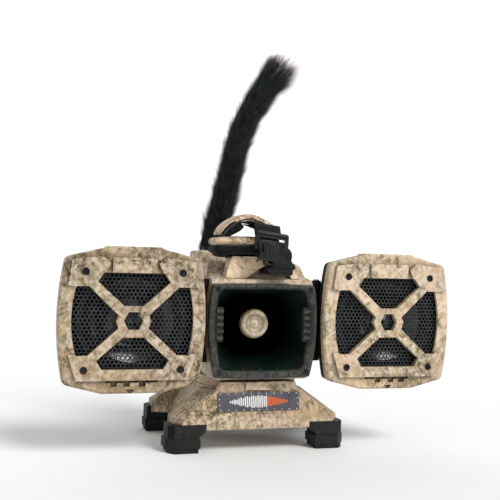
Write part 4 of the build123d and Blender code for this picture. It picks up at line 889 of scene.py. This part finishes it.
def hair_path(draw, start, end, length, splay, lift, curl, tip_pull):
    """Points of one hair, with the outward and tail directions at its root."""
    s = draw.uniform(start, end)
    centre, radius, direction = tail_at(s)
    turn = draw.uniform(0, 2 * math.pi)
    a = Vector((0, 1, 0))
    b = direction.cross(a).normalized()
    outward = a * math.cos(turn) + b * math.sin(turn)
    root = centre + outward * (radius * draw.uniform(0.44, 0.72))
    reach = length * draw.uniform(0.6, 1.25)
    flare = radius * splay * draw.uniform(0.35, 1.15)
    bend = Vector((draw.gauss(0, 1), draw.gauss(0, 1), draw.gauss(0, 1))) * curl
    clump = Vector((noise.noise(root * 0.13), noise.noise(root * 0.13 + Vector((31, 0, 0))),
                    noise.noise(root * 0.13 + Vector((0, 47, 0))))) * 4.6
    points = []
    for i in range(HAIR_SEGMENTS + 1):
        f = i / HAIR_SEGMENTS
        ahead = s + reach * f * lift
        line, _, onward = tail_at(min(TAIL_LENGTH, ahead))
        base = line + onward * max(0.0, ahead - TAIL_LENGTH)
        point = (base + outward * ((root - centre).length + flare * (f ** 1.25))
                 + clump * f + bend * f * f)
        if tip_pull:
            point += Vector(tip_pull) * (f * f) * draw.uniform(0.4, 1.0)
        if point.z > TAIL_TOP:
            point.z = TAIL_TOP + (point.z - TAIL_TOP) * 0.4
        points.append(point)
    return points, outward, direction


def hairs(name, material, count, seed, start, end, length, root_radius, *style):
    """Three-sided tapered hairs swept along the tail and splaying out."""
    draw = random.Random(seed)
    start, end = (s + TAIL_LENGTH if s < 0 else s for s in (start, end))
    verts, faces, along = [], [], []
    for _ in range(count):
        points, outward, direction = hair_path(draw, start, end, length, *style)
        thick = root_radius * draw.uniform(0.7, 1.3)
        side = outward.cross(direction).normalized()
        first = len(verts)
        for i, point in enumerate(points[:-1]):
            f = i / HAIR_SEGMENTS
            w = thick * (1 - f) ** 0.8 + 0.012
            verts += [(point + side * w) * MM,
                      (point - side * w * 0.5 + outward * w * 0.87) * MM,
                      (point - side * w * 0.5 - outward * w * 0.87) * MM]
            along += [f] * 3
        tip = len(verts)
        verts.append(points[-1] * MM)
        along.append(1.0)
        faces += loft_bands(HAIR_SEGMENTS, 3, first)
        faces += [(tip - 3 + j, tip - 3 + (j + 1) % 3, tip) for j in range(3)]
        faces.append((first + 2, first + 1, first))
    ob = mesh_object(name, verts, faces, MATERIALS[material])
    ob.data.attributes.new("along", "FLOAT", "POINT").data.foreach_set("value", along)
    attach(ob, "tail")


tail_core()
for hair_name, hair_material, hair_count, *hair_row in HAIRS:
    share = 1.0
    if hair_material == "fur_pale":
        share = max(share, 0.5)
    hairs(hair_name, hair_material, int(hair_count * share), *hair_row)

# ------------------------------------------------------------------ print on the front plate
PLATE_LEAN = math.radians(10.9)
PLATE_CENTRE = Vector((0, -60.33, 49.0))
PLATE_RIGHT = Vector((1, 0, 0))
PLATE_UP = Vector((0, math.sin(PLATE_LEAN), math.cos(PLATE_LEAN)))
PLATE_OUT = Vector((0, -math.cos(PLATE_LEAN), math.sin(PLATE_LEAN)))
PRINT_BASE, BAR_TOP, DOT_TOP = 0.75, 0.90, 1.16  # heights off the plate's centre plane
BAR_FIRST, BAR_PITCH, BAR_HALF = -29.7, 2.2, 0.70
BAR_HEIGHTS = [2.4, 3.6, 5.2, 4.4, 6.8, 8.6, 7.2, 9.8, 11.2, 9.4, 11.8, 12.2, 10.6, 12.4,
               11.6, 12.0, 10.2, 11.4, 9.0, 9.8, 7.4, 8.4, 6.0, 6.8, 4.6, 5.0, 3.4, 2.4]
ORANGE_FROM = 18  # first orange bar


def raised_print(name, material, outlines, top):
    """Outlines on the leaning plate raised into slabs open at the back."""
    verts, faces = [], []
    for outline in outlines:
        first, n = len(verts), len(outline)
        for h in (PRINT_BASE, top):
            verts += [(PLATE_CENTRE + PLATE_RIGHT * u + PLATE_UP * v + PLATE_OUT * h) * MM
                      for u, v in outline]
        faces.append(tuple(first + n + i for i in range(n)))
        for i in range(n):
            j = (i + 1) % n
            faces.append((first + i, first + j, first + n + j, first + n + i))
    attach(mesh_object(name, verts, faces, MATERIALS[material], smooth=False), "chassis")


def bar_outline(i):
    u, w = BAR_FIRST + i * BAR_PITCH, BAR_HALF
    low, high = -BAR_HEIGHTS[i] / 2, BAR_HEIGHTS[i] / 2
    return [(u - w, low + 0.4), (u - w + 0.3, low), (u + w - 0.3, low), (u + w, low + 0.4),
            (u + w, high - 0.4), (u + w - 0.3, high), (u - w + 0.3, high), (u - w, high - 0.4)]


def dot_outlines():
    """Border of small, slightly uneven octagons."""
    draw = random.Random(9)
    centres = [(-40 + i * 8, side * 8.0) for i in range(11) for side in (-1, 1)]
    centres += [(end * 41.2, side * 2.8) for end in (-1, 1) for side in (-1, 1)]
    outlines = []
    for u, v in centres:
        u += draw.uniform(-0.05, 0.05)
        v += draw.uniform(-0.05, 0.05)
        r = draw.uniform(0.5, 0.62)
        outlines.append([(u + r * math.cos(k * math.pi / 4), v + r * math.sin(k * math.pi / 4))
                         for k in range(8)])
    return outlines


bars = [bar_outline(i) for i in range(len(BAR_HEIGHTS))]
raised_print("plate_level_bars", "print_white", bars[:ORANGE_FROM], BAR_TOP)
raised_print("plate_peak_bars", "print_orange", bars[ORANGE_FROM:], BAR_TOP)
raised_print("plate_rivet_dots", "print_white", dot_outlines(), DOT_TOP)

# ------------------------------------------------------------------ padded strap
PAD_FRONT, PAD_REAR = -68.6, -33.0  # y of the pad's edges
BAND_STEP = 3.2
PUFF_VOXEL = 0.0036
PUFF_FRAMES = 20
PUFF_LIMIT = 0.0022  # farthest the cloth may move a point

# x and z along the middle of each band.
ARC_PATH = [(-44.2, 212.8), (-42.6, 217.4), (-38.0, 222.8), (-31.6, 227.6), (-23.6, 231.4),
            (-14.6, 232.4), (-6.0, 230.4), (1.9, 226.8), (7.8, 222.8), (12.6, 218.8)]
# dark band standing in for shade in the gap under the pads
SHADE_FILL_PATH = [(-33.0, 194.8), (-20.0, 194.5), (-8.0, 194.6), (3.5, 194.8)]
# Material, thickness, inset of the front edge, inset of the rear edge, path.
PADS = {
    "strap_pad_lower": ("camo_cloth", 8.2, 0, 0, [
        (-51.0, 205.8), (-48.2, 208.6), (-42, 209.6), (-32, 209.2), (-20, 209.4), (-9, 210.2),
        (2.0, 210.4)]),
    "strap_pad_lining": ("lining", 9.4, 0.7, 0.5, [
        (-50.8, 204.2), (-48.0, 201.0), (-41, 200.2), (-34, 201.2), (-26, 201.9), (-11, 202.1),
        (2.0, 202.1)]),
    # folded under the arc where it turns at its -x end
    "strap_pad_fold": ("lining", 7.4, 1.2, 1.0, [
        (-41.0, 214.2), (-36.8, 216.8), (-31.4, 219.8), (-26.2, 223.2), (-21.4, 226.2)]),
    # edge sagging toward the housing, drawn low so its dark lining also stands in for the shade
    # under the pad
    "strap_pad_skirt": ("lining", 5.0, 2.0, 3.0, [
        (-48.0, 199.4), (-46.4, 196.8), (-43.6, 195.4), (-40.4, 195.2), (-37.8, 196.2),
        (-36.2, 198.4)]),
}


def strap_piece(ob):
    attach(ob, "strap")
    return ob


def outward_at(points, i):
    along = direction_at(points, i)
    return Vector((-along.z, 0, along.x))


def on_xz(path):
    return [Vector((x, 0, z)) for x, z in path]


def band(name, path, thick, y0, y1, material, columns=9):
    """Closed band along an x-z path, thinner at its ends and edges."""
    points = catmull(on_xz(path), 14)
    run = run_lengths(points)
    count = max(8, int(run[-1] / BAND_STEP))
    middle, half = (y0 + y1) / 2, (y1 - y0) / 2
    across = [-1 + 2 * j / columns for j in range(columns + 1)]
    profile = [(w, 1 if abs(w) < 0.999 else 0.5) for w in across]
    profile += [(w, -v) for w, v in reversed(profile)]
    rings = []
    for i in range(count + 1):
        k, f = locate(run, run[-1] * i / count)
        point = points[k].lerp(points[k + 1], f)
        along = (points[k + 1] - points[k]).normalized()
        outward = Vector((-along.z, 0, along.x))
        h = thick / 2 * (0.45 if i in (0, count) else 1)
        rings.append([(point + outward * (v * h) + Vector((0, middle + w * half, 0))) * MM
                      for w, v in profile])
    return ring_loft(name, rings, material)


def vertex_array(mesh):
    flat = np.empty(len(mesh.vertices) * 3)
    mesh.vertices.foreach_get("co", flat)
    return flat.reshape(-1, 3)


def inflate(ob):
    """Short pressure simulation without gravity, limited in how far a point moves."""
    rest = vertex_array(ob.data)
    cloth = ob.modifiers.new("cloth", "CLOTH")
    settings = cloth.settings
    settings.quality = 6
    settings.mass = 0.15
    settings.tension_stiffness = 22
    settings.compression_stiffness = 22
    settings.shear_stiffness = 8
    settings.bending_stiffness = 1.2
    settings.use_pressure = True
    settings.uniform_pressure_force = 4.0
    settings.effector_weights.gravity = 0.0
    cloth.point_cache.frame_start = 1
    cloth.point_cache.frame_end = PUFF_FRAMES
    for frame in range(1, PUFF_FRAMES + 1):
        SCENE.frame_set(frame)
    apply_modifiers(ob)
    SCENE.frame_set(1)
    moved = vertex_array(ob.data) - rest
    distance = np.linalg.norm(moved, axis=1, keepdims=True)
    moved *= np.minimum(1.0, PUFF_LIMIT / np.maximum(distance, 1e-9))
    ob.data.vertices.foreach_set("co", (rest + moved).ravel())
    ob.data.update()


def puff(ob):
    """Remesh a band evenly, inflate it, crease it and smooth it."""
    remesh = ob.modifiers.new("remesh", "REMESH")
    remesh.mode = "VOXEL"
    remesh.voxel_size = PUFF_VOXEL
    remesh.use_smooth_shade = True
    apply_modifiers(ob)
    inflate(ob)
    vertices = ob.data.vertices
    # soft creases across the band; all normals are read before any point moves
    before = [(v.co.copy(), v.normal.copy()) for v in vertices]
    for v, (c, normal) in zip(vertices, before):
        broad = Vector((c.x * 95, c.y * 28, c.z * 95)) + Vector((3, 1, 2))
        crease = noise.noise(broad) * 0.00075
        crease += noise.noise(Vector((c.x * 240, c.y * 70, c.z * 240))) * 0.00028
        v.co = c + normal * crease
    subdivide = ob.modifiers.new("subdivide", "SUBSURF")
    subdivide.levels = subdivide.render_levels = 2
    apply_modifiers(ob)
    ob.data.polygons.foreach_set("use_smooth", [True] * len(ob.data.polygons))
    return ob


def line_underside(arc):
    """Lining on the arc's underside, reaching round its edge toward the -x end."""
    arc.data.materials.clear()
    for name in ("camo_cloth", "lining"):
        arc.data.materials.append(MATERIALS[name])
    middle = catmull(on_xz(ARC_PATH), 8)
    for face in arc.data.polygons:
        c = face.center / MM
        near = min(range(len(middle)),
                   key=lambda i: (middle[i].x - c.x) ** 2 + (middle[i].z - c.z) ** 2)
        limit = -2.8 + 4.6 * min(1.0, max(0.0, (-22.0 - c.x) / 12.0))
        height = (Vector((c.x, 0, c.z)) - middle[near]).dot(outward_at(middle, near))
        face.material_index = 1 if height < limit else 0


def surface(ob):
    bm = bmesh.new()
    bm.from_mesh(ob.data)
    tree = BVHTree.FromBMesh(bm)
    bm.free()
    return tree


STITCH_LENGTH, STITCH_GAP = 2.1, 1.3
STITCH_LIFT = (0.0, 0.32, 0.42, 0.32, 0.0)  # arch of the thread over the cloth
STITCH_RADII = (0.28 * 0.55, 0.28, 0.28, 0.28, 0.28 * 0.55)
STITCH_SIDES = 6


def stitches(name, tree, line, ray_direction, material):
    """Short thread loops where rays from a line meet the puffed surface."""
    run = run_lengths(line)
    verts, faces = [], []
    start = 0.6
    while start + STITCH_LENGTH < run[-1]:
        points = []
        for i, lift in enumerate(STITCH_LIFT):
            k, f = locate(run, start + STITCH_LENGTH * (i * 0.25))
            q = line[k].lerp(line[k + 1], f)
            d = ray_direction(q).normalized()
            spot, normal, _, _ = tree.ray_cast((q - d * 8) * MM, d, 0.030)
            if spot is None:
                break
            points.append(spot / MM + normal * (lift - 0.08))
        start += STITCH_LENGTH + STITCH_GAP
        if len(points) == len(STITCH_LIFT):
            faces += loft_closed(len(points), STITCH_SIDES, len(verts))
            verts += cord_rings(points, STITCH_RADII, STITCH_SIDES, carry_frame=False)
    if verts:  # a line that misses the cloth leaves no object
        strap_piece(mesh_object(name, verts, faces, MATERIALS[material]))


def piping(name, points, radius):
    sides = 8
    verts = cord_rings(points, [radius] * len(points), sides, carry_frame=True)
    faces = loft_closed(len(points), sides)
    strap_piece(mesh_object(name, verts, faces, MATERIALS["thread_black"]))


def pad_stitching(arc, lower, lining, fine, outward):
    """A row of stitches near the front and rear edges of each padded band."""
    for tag, y in (("front", PAD_FRONT + 4.6), ("rear", PAD_REAR - 4.6)):
        line = [p + n * 6 + Vector((0, y, 0)) for p, n in zip(fine, outward)][4:-3]
        pairs = list(zip(line, outward[4:-3]))
        stitches("strap_stitch_arc_" + tag, arc, line,
                 lambda q: -min(pairs, key=lambda pair: (pair[0] - q).length_squared)[1],
                 "thread")
        for part, tree, z, down, thread in (("low", lower, 219, -1, "thread"),
                                            ("under", lining, 190, 1, "thread_black")):
            line = [Vector((x, y, z)) for x in np.linspace(-46, 1, 28)]
            stitches(f"strap_stitch_{part}_{tag}", tree, line,
                     lambda q: Vector((0, 0, down)), thread)


def pad_piping(arc, lower, lining, fine, outward):
    """Cords along the seams between the camouflage and the lining."""
    for tag, y, facing in (("front", PAD_FRONT - 6, 1), ("rear", PAD_REAR + 6, -1)):

        def hit(tree, x, z):
            return tree.ray_cast(Vector((x, y, z)) * MM, Vector((0, facing, 0)), 0.05)[0]

        seam = [p - n * 0.9 for p, n in zip(fine, outward)][3:-2]
        hits = [hit(arc, q.x, q.z) for q in seam]
        piping("strap_piping_arc_" + tag, [h / MM for h in hits if h is not None], 0.75)
        cord = []
        seam_x = np.linspace(-49.5, 2.5, 40)
        seam_z = np.interp(seam_x, [-49.5, -40, -30, -12, 2.5], [205.0, 204.9, 204.8, 205.8, 206.1])
        for x, z in zip(seam_x, seam_z):
            hits = (hit(lower, x, z + 1.2), hit(lining, x, z - 1.2))
            ys = [h.y / MM for h in hits if h is not None]
            if ys:
                outer = min(ys) if facing > 0 else max(ys)
                cord.append(Vector((x, outer + 0.25 * facing, z)))
        if len(cord) > 3:  # too few hits leave no seam to follow
            piping("strap_piping_low_" + tag, cord, 0.85)


def strap_pads():
    arc = puff(band("strap_pad_arc", ARC_PATH, 8.4, PAD_FRONT + 0.6, PAD_REAR - 0.6,
                    MATERIALS["camo_cloth"]))
    line_underside(arc)
    strap_piece(arc)
    pads = {}
    for name, (material, thick, front, rear, path) in PADS.items():
        pads[name] = strap_piece(puff(band(name, path, thick, PAD_FRONT + front, PAD_REAR - rear,
                                           MATERIALS[material])))
    # narrow flat band of lining low at the rear: a dark sheet standing in for the shade in the gap
    # under the pads
    strap_piece(band("strap_pad_shade_fill", SHADE_FILL_PATH, 9.2, -40.6, -37.8, MATERIALS["lining"],
                     columns=5))
    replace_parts(arc, "strap_pad")
    fine = catmull(on_xz(ARC_PATH), 10)
    outward = [outward_at(fine, i) for i in range(len(fine))]
    trees = [surface(ob) for ob in (arc, pads["strap_pad_lower"], pads["strap_pad_lining"])]
    pad_stitching(*trees, fine, outward)
    pad_piping(*trees, fine, outward)


strap_pads()

# ------------------------------------------------------------------ webbing
TAPE_UV = 0.0254  # metres of tape per UV unit
TAPE_STEPS = 6
# Cross section: share of the half width, share of the half thickness.
TAPE_PROFILE = [(-1, -0.5), (-1.0, 0.5), (-0.94, 1), (-0.5, 0.86), (0, 0.8), (0.5, 0.86),
                (0.94, 1), (1.0, 0.5), (1, -0.5), (0.94, -1), (0.5, -0.86), (0, -0.8),
                (-0.5, -0.86), (-0.94, -1)]
# Stations of each tape: x, y, z, then y and z of its outward normal.
WEB_UPPER = [
    (-1.6, -36, 226.0, 0, 1), (-1.6, -48, 224.6, 0, 1), (-1.6, -61, 222.6, 0, 1),
    (-1.4, -69.6, 221.6, -0.5, 0.87), (-1.0, -72.0, 219.4, -0.95, 0.3),
    (0.0, -72.0, 214, -1, 0), (2.6, -71.9, 207, -1, 0), (6.6, -71.8, 200, -1, 0)]
WEB_OUTER = [
    (1.0, -67.0, 226.6, 0, 1), (0.2, -71.4, 226.2, -0.5, 0.87), (-0.2, -73.4, 224.0, -0.9, 0.3),
    (0.4, -73.8, 220.4, -1, 0), (1.6, -74.2, 217.0, -1, 0), (2.2, -76.0, 215.4, -1, -0.2)]
# The lower tape turns on an arc in the y-z plane between its two straight parts.
LOWER_X, LOWER_CENTRE, LOWER_RADIUS = 14.4, (-49.95, 189.2), 10.9
WEB_LOWER = [
    (9.0, -71.9, 200.0, -1, 0), (12.0, -71.9, 195.0, -1, -0.1), (14.0, -70.6, 188.6, -0.9, -0.4),
    (LOWER_X, -64.8, 184.6, -0.6, -0.8)]
for degrees in range(205, 361, 18):
    normal_y, normal_z = math.cos(math.radians(degrees)), math.sin(math.radians(degrees))
    WEB_LOWER.append((LOWER_X, LOWER_CENTRE[0] + LOWER_RADIUS * normal_y,
                      LOWER_CENTRE[1] + LOWER_RADIUS * normal_z, normal_y, normal_z))
WEB_LOWER += [(LOWER_X, -39.2, 192.4, 1, 0), (LOWER_X, -39.3, 195.4, 1, 0)]
WEB_TAIL = [
    (9.5, -74.6, 204.6, -0.1, 1), (12.5, -78.2, 204.4, -0.6, 0.8), (14.2, -79.8, 201.0, -0.95, 0.3),
    (15.0, -79.6, 196.4, -1, -0.1), (14.6, -78.0, 191.8, -1, -0.2),
    (15.6, -79.4, 188.4, -0.95, 0.3), (16.2, -79.2, 184.8, -0.95, -0.3),
    (14.6, -75.6, 182.6, -0.5, -0.86), (13.4, -70.0, 181.8, -0.1, -1)]
WEB_TAIL_WIDTHS = [(7.0, -1.0), (8.2, -1.2), (9.2, -1.4), (9.4, -1.2), (9.6, -0.8),
                   (11.4, -1.2), (12.2, -1.0), (12.4, -0.8), (12.4, -0.4)]
WEB_LIP = [
    (13.0, -72.0, 181.6, 0, 1), (13.0, -77.0, 182.0, -0.4, 0.9), (13.2, -78.8, 180.0, -1, 0),
    (13.4, -76.8, 177.8, -0.5, -0.86), (13.4, -70.0, 177.2, 0, -1), (13.4, -63.0, 177.6, 0, -1)]


def tape(name, stations, widths, thick, material):
    """Flat webbing; widths holds (half width, z rise over it), one per station or just one."""
    if len(widths) == 1:
        widths = widths * len(stations)
    points = catmull([Vector(row[:3]) * MM for row in stations], TAPE_STEPS)
    halves = catmull([Vector((w, 0, rise)) * MM for w, rise in widths], TAPE_STEPS)
    normals = catmull([Vector((0, *row[3:])) for row in stations], TAPE_STEPS)
    thick *= MM
    verts, uvs = [], []
    for p, half, n, run in zip(points, halves, normals, run_lengths(points)):
        n = n.normalized()
        for a, b in TAPE_PROFILE:
            verts.append(p + half * a + n * (b * thick / 2))
            uvs.append((a * half.length / TAPE_UV + 0.5, run / TAPE_UV))
    faces = loft_closed(len(points), len(TAPE_PROFILE))
    ob = mesh_object(name, verts, faces, MATERIALS[material])
    layer = ob.data.uv_layers.new(name="UVMap")
    for loop in ob.data.loops:
        layer.data[loop.index].uv = uvs[loop.vertex_index]
    fix_normals(ob.data)
    return strap_piece(ob)


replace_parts(tape("strap_web_upper", WEB_UPPER, [(12.3, -1.0)], 1.5, "webbing"), "strap_webbing")
# outer ply over the arc's +x end; it and the lower tapes wear the darker webbing copy, painted
# shade
tape("strap_web_outer", WEB_OUTER, [(13.6, -1.9)], 1.7, "webbing_shade")
tape("strap_web_lower", WEB_LOWER, [(12.4, -0.4)], 1.6, "webbing_shade")
# free end: folds over in front of the buckle and drapes down
tape("strap_web_tail", WEB_TAIL, WEB_TAIL_WIDTHS, 1.5, "webbing_shade")
# lowest lay, rolled at its front edge
tape("strap_web_lip", WEB_LIP, [(12.6, -0.2)], 1.6, "webbing_shade")

# ------------------------------------------------------------------ buckle
# Parts are drawn in their own x-z plane, then tilted, sheared and moved to a seat.
ADJUSTER_SEAT, ADJUSTER_TILT = (3.6, -73.6, 212.4), -7.0
BODY_SEAT = (3.4, -73.0, 200.8)
MIDDLE_SEAT = (3.4, -73.0, 200.6)
TONGUE_SEAT = (3.4, -73.0, 201.2)
KEEPER_SEAT = (9.6, -73.0, 188.4)
BODY_TILT = -6
BUCKLE_SHEAR = 0.10
BODY_OUTLINE = [
    (-13.2, 9.6), (13.2, 9.6), (14.6, 6), (14.0, 2.5), (12.2, -0.5), (12.6, -4.5), (14.2, -8.5),
    (13.2, -10.6), (-13.2, -10.6), (-14.2, -8.5), (-12.6, -4.5), (-12.2, -0.5), (-14.0, 2.5),
    (-14.6, 6)][::-1]
BODY_WINDOW = [(9.4, 5.6), (11.8, 5.6), (11.2, 1.2), (10.4, -3.0), (8.8, -3.0)]
PRONG = [(10.0, 6.6), (13.4, 5.2), (13.6, 1.2), (12.0, -2.6), (10.2, -2.2)]
RAIL = [(14.6, -12), (17.2, -12), (17.2, 2), (14.6, 2)]


def seat(ob, centre, tilt=BODY_TILT):
    """Tilt, shear and move a part, and hand it to the strap."""
    c, s = math.cos(math.radians(tilt)), math.sin(math.radians(tilt))
    for v in ob.data.vertices:
        x, y, z = v.co / MM
        turned = (c * x - s * z - BUCKLE_SHEAR * z, y, s * x + c * z)
        v.co = Vector([a + b for a, b in zip(centre, turned)]) * MM
    ob.data.update()
    return strap_piece(ob)


def rounded(half_x, half_z, r, steps=6):
    """Rounded rectangle."""
    points = []
    for x, z, start in ((half_x - r, half_z - r, 0), (-half_x + r, half_z - r, 90),
                        (-half_x + r, -half_z + r, 180), (half_x - r, -half_z + r, 270)):
        for i in range(steps + 1):
            a = math.radians(start + 90 * i / steps)
            points.append((x + r * math.cos(a), z + r * math.sin(a)))
    return points


def mirrored(points, side):
    return [(side * x, z) for x, z in points]


def buckle_plate(name, outline, front, back, edge, holes=()):
    """Plate with through windows and rounded edges; front and back are its y faces."""
    curve = bpy.data.curves.new(name, "CURVE")
    curve.dimensions = "2D"
    curve.fill_mode = "BOTH"
    curve.extrude = (back - front) / 2 * MM - edge * MM
    curve.bevel_depth = edge * MM
    curve.bevel_resolution = 2
    curve.offset = -edge * MM
    for loop in (outline, *holes):
        spline = curve.splines.new("POLY")
        spline.points.add(len(loop) - 1)
        for point, (x, z) in zip(spline.points, loop):
            point.co = (x * MM, z * MM, 0, 1)
        spline.use_cyclic_u = True
    flat = link_mesh(name + "_c", curve)
    mesh = evaluated_mesh(flat)
    bpy.data.objects.remove(flat)
    for v in mesh.vertices:
        x, y, z = v.co
        v.co = (x, -z + (front + back) / 2 * MM, y)
    mesh.materials.clear()
    mesh.materials.append(MATERIALS["buckle_black"])
    fix_normals(mesh, merge=1e-6)
    return link_mesh(name, mesh)


def grip_bar(name, half_length, y, z, radius):
    """Slightly flattened bar along x."""
    sides = 14
    bm = bmesh.new()
    ends = []
    for x in (-half_length, half_length):
        turns = [2 * math.pi * i / sides for i in range(sides)]
        ends.append([bm.verts.new(Vector((x, y + radius * math.cos(t),
                                          z + radius * 0.8 * math.sin(t))) * MM) for t in turns])
    low, high = ends
    bm.faces.new(low)
    bm.faces.new(high[::-1])
    for i in range(sides):
        j = (i + 1) % sides
        bm.faces.new((low[i], high[i], high[j], low[j]))
    ob = bmesh_object(name, bm, MATERIALS["buckle_black"])
    bevel = ob.modifiers.new("bevel", "BEVEL")
    bevel.width = 0.3 * MM
    bevel.segments = 2
    bevel.limit_method = "ANGLE"
    bevel.angle_limit = math.radians(50)
    return apply_modifiers(ob)


def buckle():
    # adjuster end: an open frame with two grip bars and two side rails
    frame = buckle_plate("buckle_frame", rounded(17.4, 6.6, 2.2), -5.6, -1.4, 0.7,
                         holes=[rounded(13.8, 2.0, 0.9)[::-1]])
    seat(frame, ADJUSTER_SEAT, ADJUSTER_TILT)
    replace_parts(frame, "buckle_male", "buckle_female")
    for i, (z, y, radius) in enumerate(((4.4, -5.6, 1.7), (1.0, -4.6, 1.2))):
        seat(grip_bar(f"buckle_bar_{i}", 16.6, y, z, radius), ADJUSTER_SEAT, ADJUSTER_TILT)
    for i, side in enumerate((-1, 1)):
        rail = buckle_plate(f"buckle_rail_{i}", mirrored(RAIL, side)[::side], -4.6, -1.6, 0.5)
        seat(rail, ADJUSTER_SEAT, ADJUSTER_TILT)
    # body with a waist, two side windows with prongs and a raised middle
    windows = [BODY_WINDOW, mirrored(BODY_WINDOW, -1)[::-1]]
    seat(buckle_plate("buckle_body", BODY_OUTLINE, -7.2, -0.6, 0.8, windows), BODY_SEAT)
    seat(buckle_plate("buckle_middle", rounded(6.8, 7.6, 3.2), -8.0, -5.0, 0.7), MIDDLE_SEAT)
    seat(buckle_plate("buckle_tongue", rounded(3.4, 5.4, 2.6), -8.7, -6.0, 0.5), TONGUE_SEAT)
    for i, side in enumerate((-1, 1)):
        prong = mirrored(PRONG, side)[::-side]
        seat(buckle_plate(f"buckle_prong_{i}", prong, -6.0, -2.2, 0.6), BODY_SEAT)
    # keeper at the lower tape
    seat(buckle_plate("buckle_keeper", rounded(14.4, 3.4, 1.6), -5.0, -1.4, 0.6,
                      holes=[rounded(11.8, 1.0, 0.6)[::-1]]), KEEPER_SEAT)


buckle()

# ------------------------------------------------------------------ camera, floor and light
CAMERA_PLACE = (-0.276606, -0.907612, 0.193316)
CAMERA_YAW, CAMERA_PITCH, CAMERA_ROLL = 0.301, -0.0086, 0.0272  # radians
# Direction from the object to the light, strength, angular size in degrees.
SUNS = {
    "key": ((0.42, -0.80, 0.85), 2.1, 24),
    "left_fill": ((-0.9, -0.6, 0.35), 0.18, 60),
    "side": ((0.95, -0.75, 0.22), 0.55, 12),
    "back": ((0.5, 0.8, 0.7), 0.5, 40),
}
FLOOR_HALF = 7.0
COVE_START, COVE_RADIUS = 1.6, 2.2


def camera():
    yaw, pitch, roll = CAMERA_YAW, CAMERA_PITCH, CAMERA_ROLL
    forward = Vector((math.sin(yaw) * math.cos(pitch), math.cos(yaw) * math.cos(pitch),
                      -math.sin(pitch)))
    level = Vector((math.cos(yaw), -math.sin(yaw), 0))
    upright = level.cross(forward)
    right = level * math.cos(roll) + upright * math.sin(roll)
    up = -level * math.sin(roll) + upright * math.cos(roll)
    ob = link_mesh("camera", bpy.data.cameras.new("camera"))
    turn = Matrix((right, up, -forward)).transposed()
    ob.matrix_world = Matrix.Translation(CAMERA_PLACE) @ turn.to_4x4()
    ob.data.lens = 63.78
    ob.data.sensor_width = 36
    ob.data.clip_start = 0.02
    SCENE.camera = ob


def studio_world():
    """White surroundings, brighter to the camera than to the object."""
    world = bpy.data.worlds.new("studio")
    world.use_nodes = True
    tree = world.node_tree
    background = tree.nodes["Background"]
    ray = tree.nodes.new("ShaderNodeLightPath")
    strength = tree.nodes.new("ShaderNodeMix")
    strength.inputs[2].default_value = 0.42  # lighting
    strength.inputs[3].default_value = 1.0  # seen by the camera
    tree.links.new(ray.outputs["Is Camera Ray"], strength.inputs[0])
    background.inputs[0].default_value = (1.0, 1.0, 1.0, 1)
    tree.links.new(strength.outputs[0], background.inputs[1])
    SCENE.world = world
    SCENE.view_settings.view_transform = "Standard"
    SCENE.view_settings.look = "None"


def studio_floor():
    """Floor that curves up into a plain backdrop well behind the object."""
    m = Shader("floor")
    v = m.coords()
    colour = m.mix(m.spread(m.noise(v, scale=6, detail=3, rough=0.5), 0, 1),
                   (0.92, 0.92, 0.92), (0.935, 0.935, 0.935))
    gloss = m.spread(m.noise(v, scale=40, detail=3, rough=0.5), 0.8, 0.9)
    m.finish(colour, gloss, specular=0.1)
    profile = [(-4.0, 0.0), (-1.0, 0.0), (COVE_START, 0.0)]  # y, z
    for degrees in range(5, 91, 5):
        a = math.radians(degrees)
        profile.append((COVE_START + COVE_RADIUS * math.sin(a),
                        COVE_RADIUS - COVE_RADIUS * math.cos(a)))
    profile.append((COVE_START + COVE_RADIUS, 6.0))
    verts = [(x, y, z) for y, z in profile for x in (-FLOOR_HALF, FLOOR_HALF)]
    faces = [(2 * i, 2 * i + 1, 2 * i + 3, 2 * i + 2) for i in range(len(profile) - 1)]
    mesh_object("floor", verts, faces, m.material)


def sun(name, towards, strength, size):
    light = bpy.data.lights.new(name, "SUN")
    light.energy = strength
    light.angle = math.radians(size)
    ob = link_mesh(name, light)
    ob.rotation_euler = (-Vector(towards)).to_track_quat("-Z", "Y").to_euler()


camera()
studio_world()
studio_floor()
for sun_name, sun_row in SUNS.items():
    sun(sun_name, *sun_row)
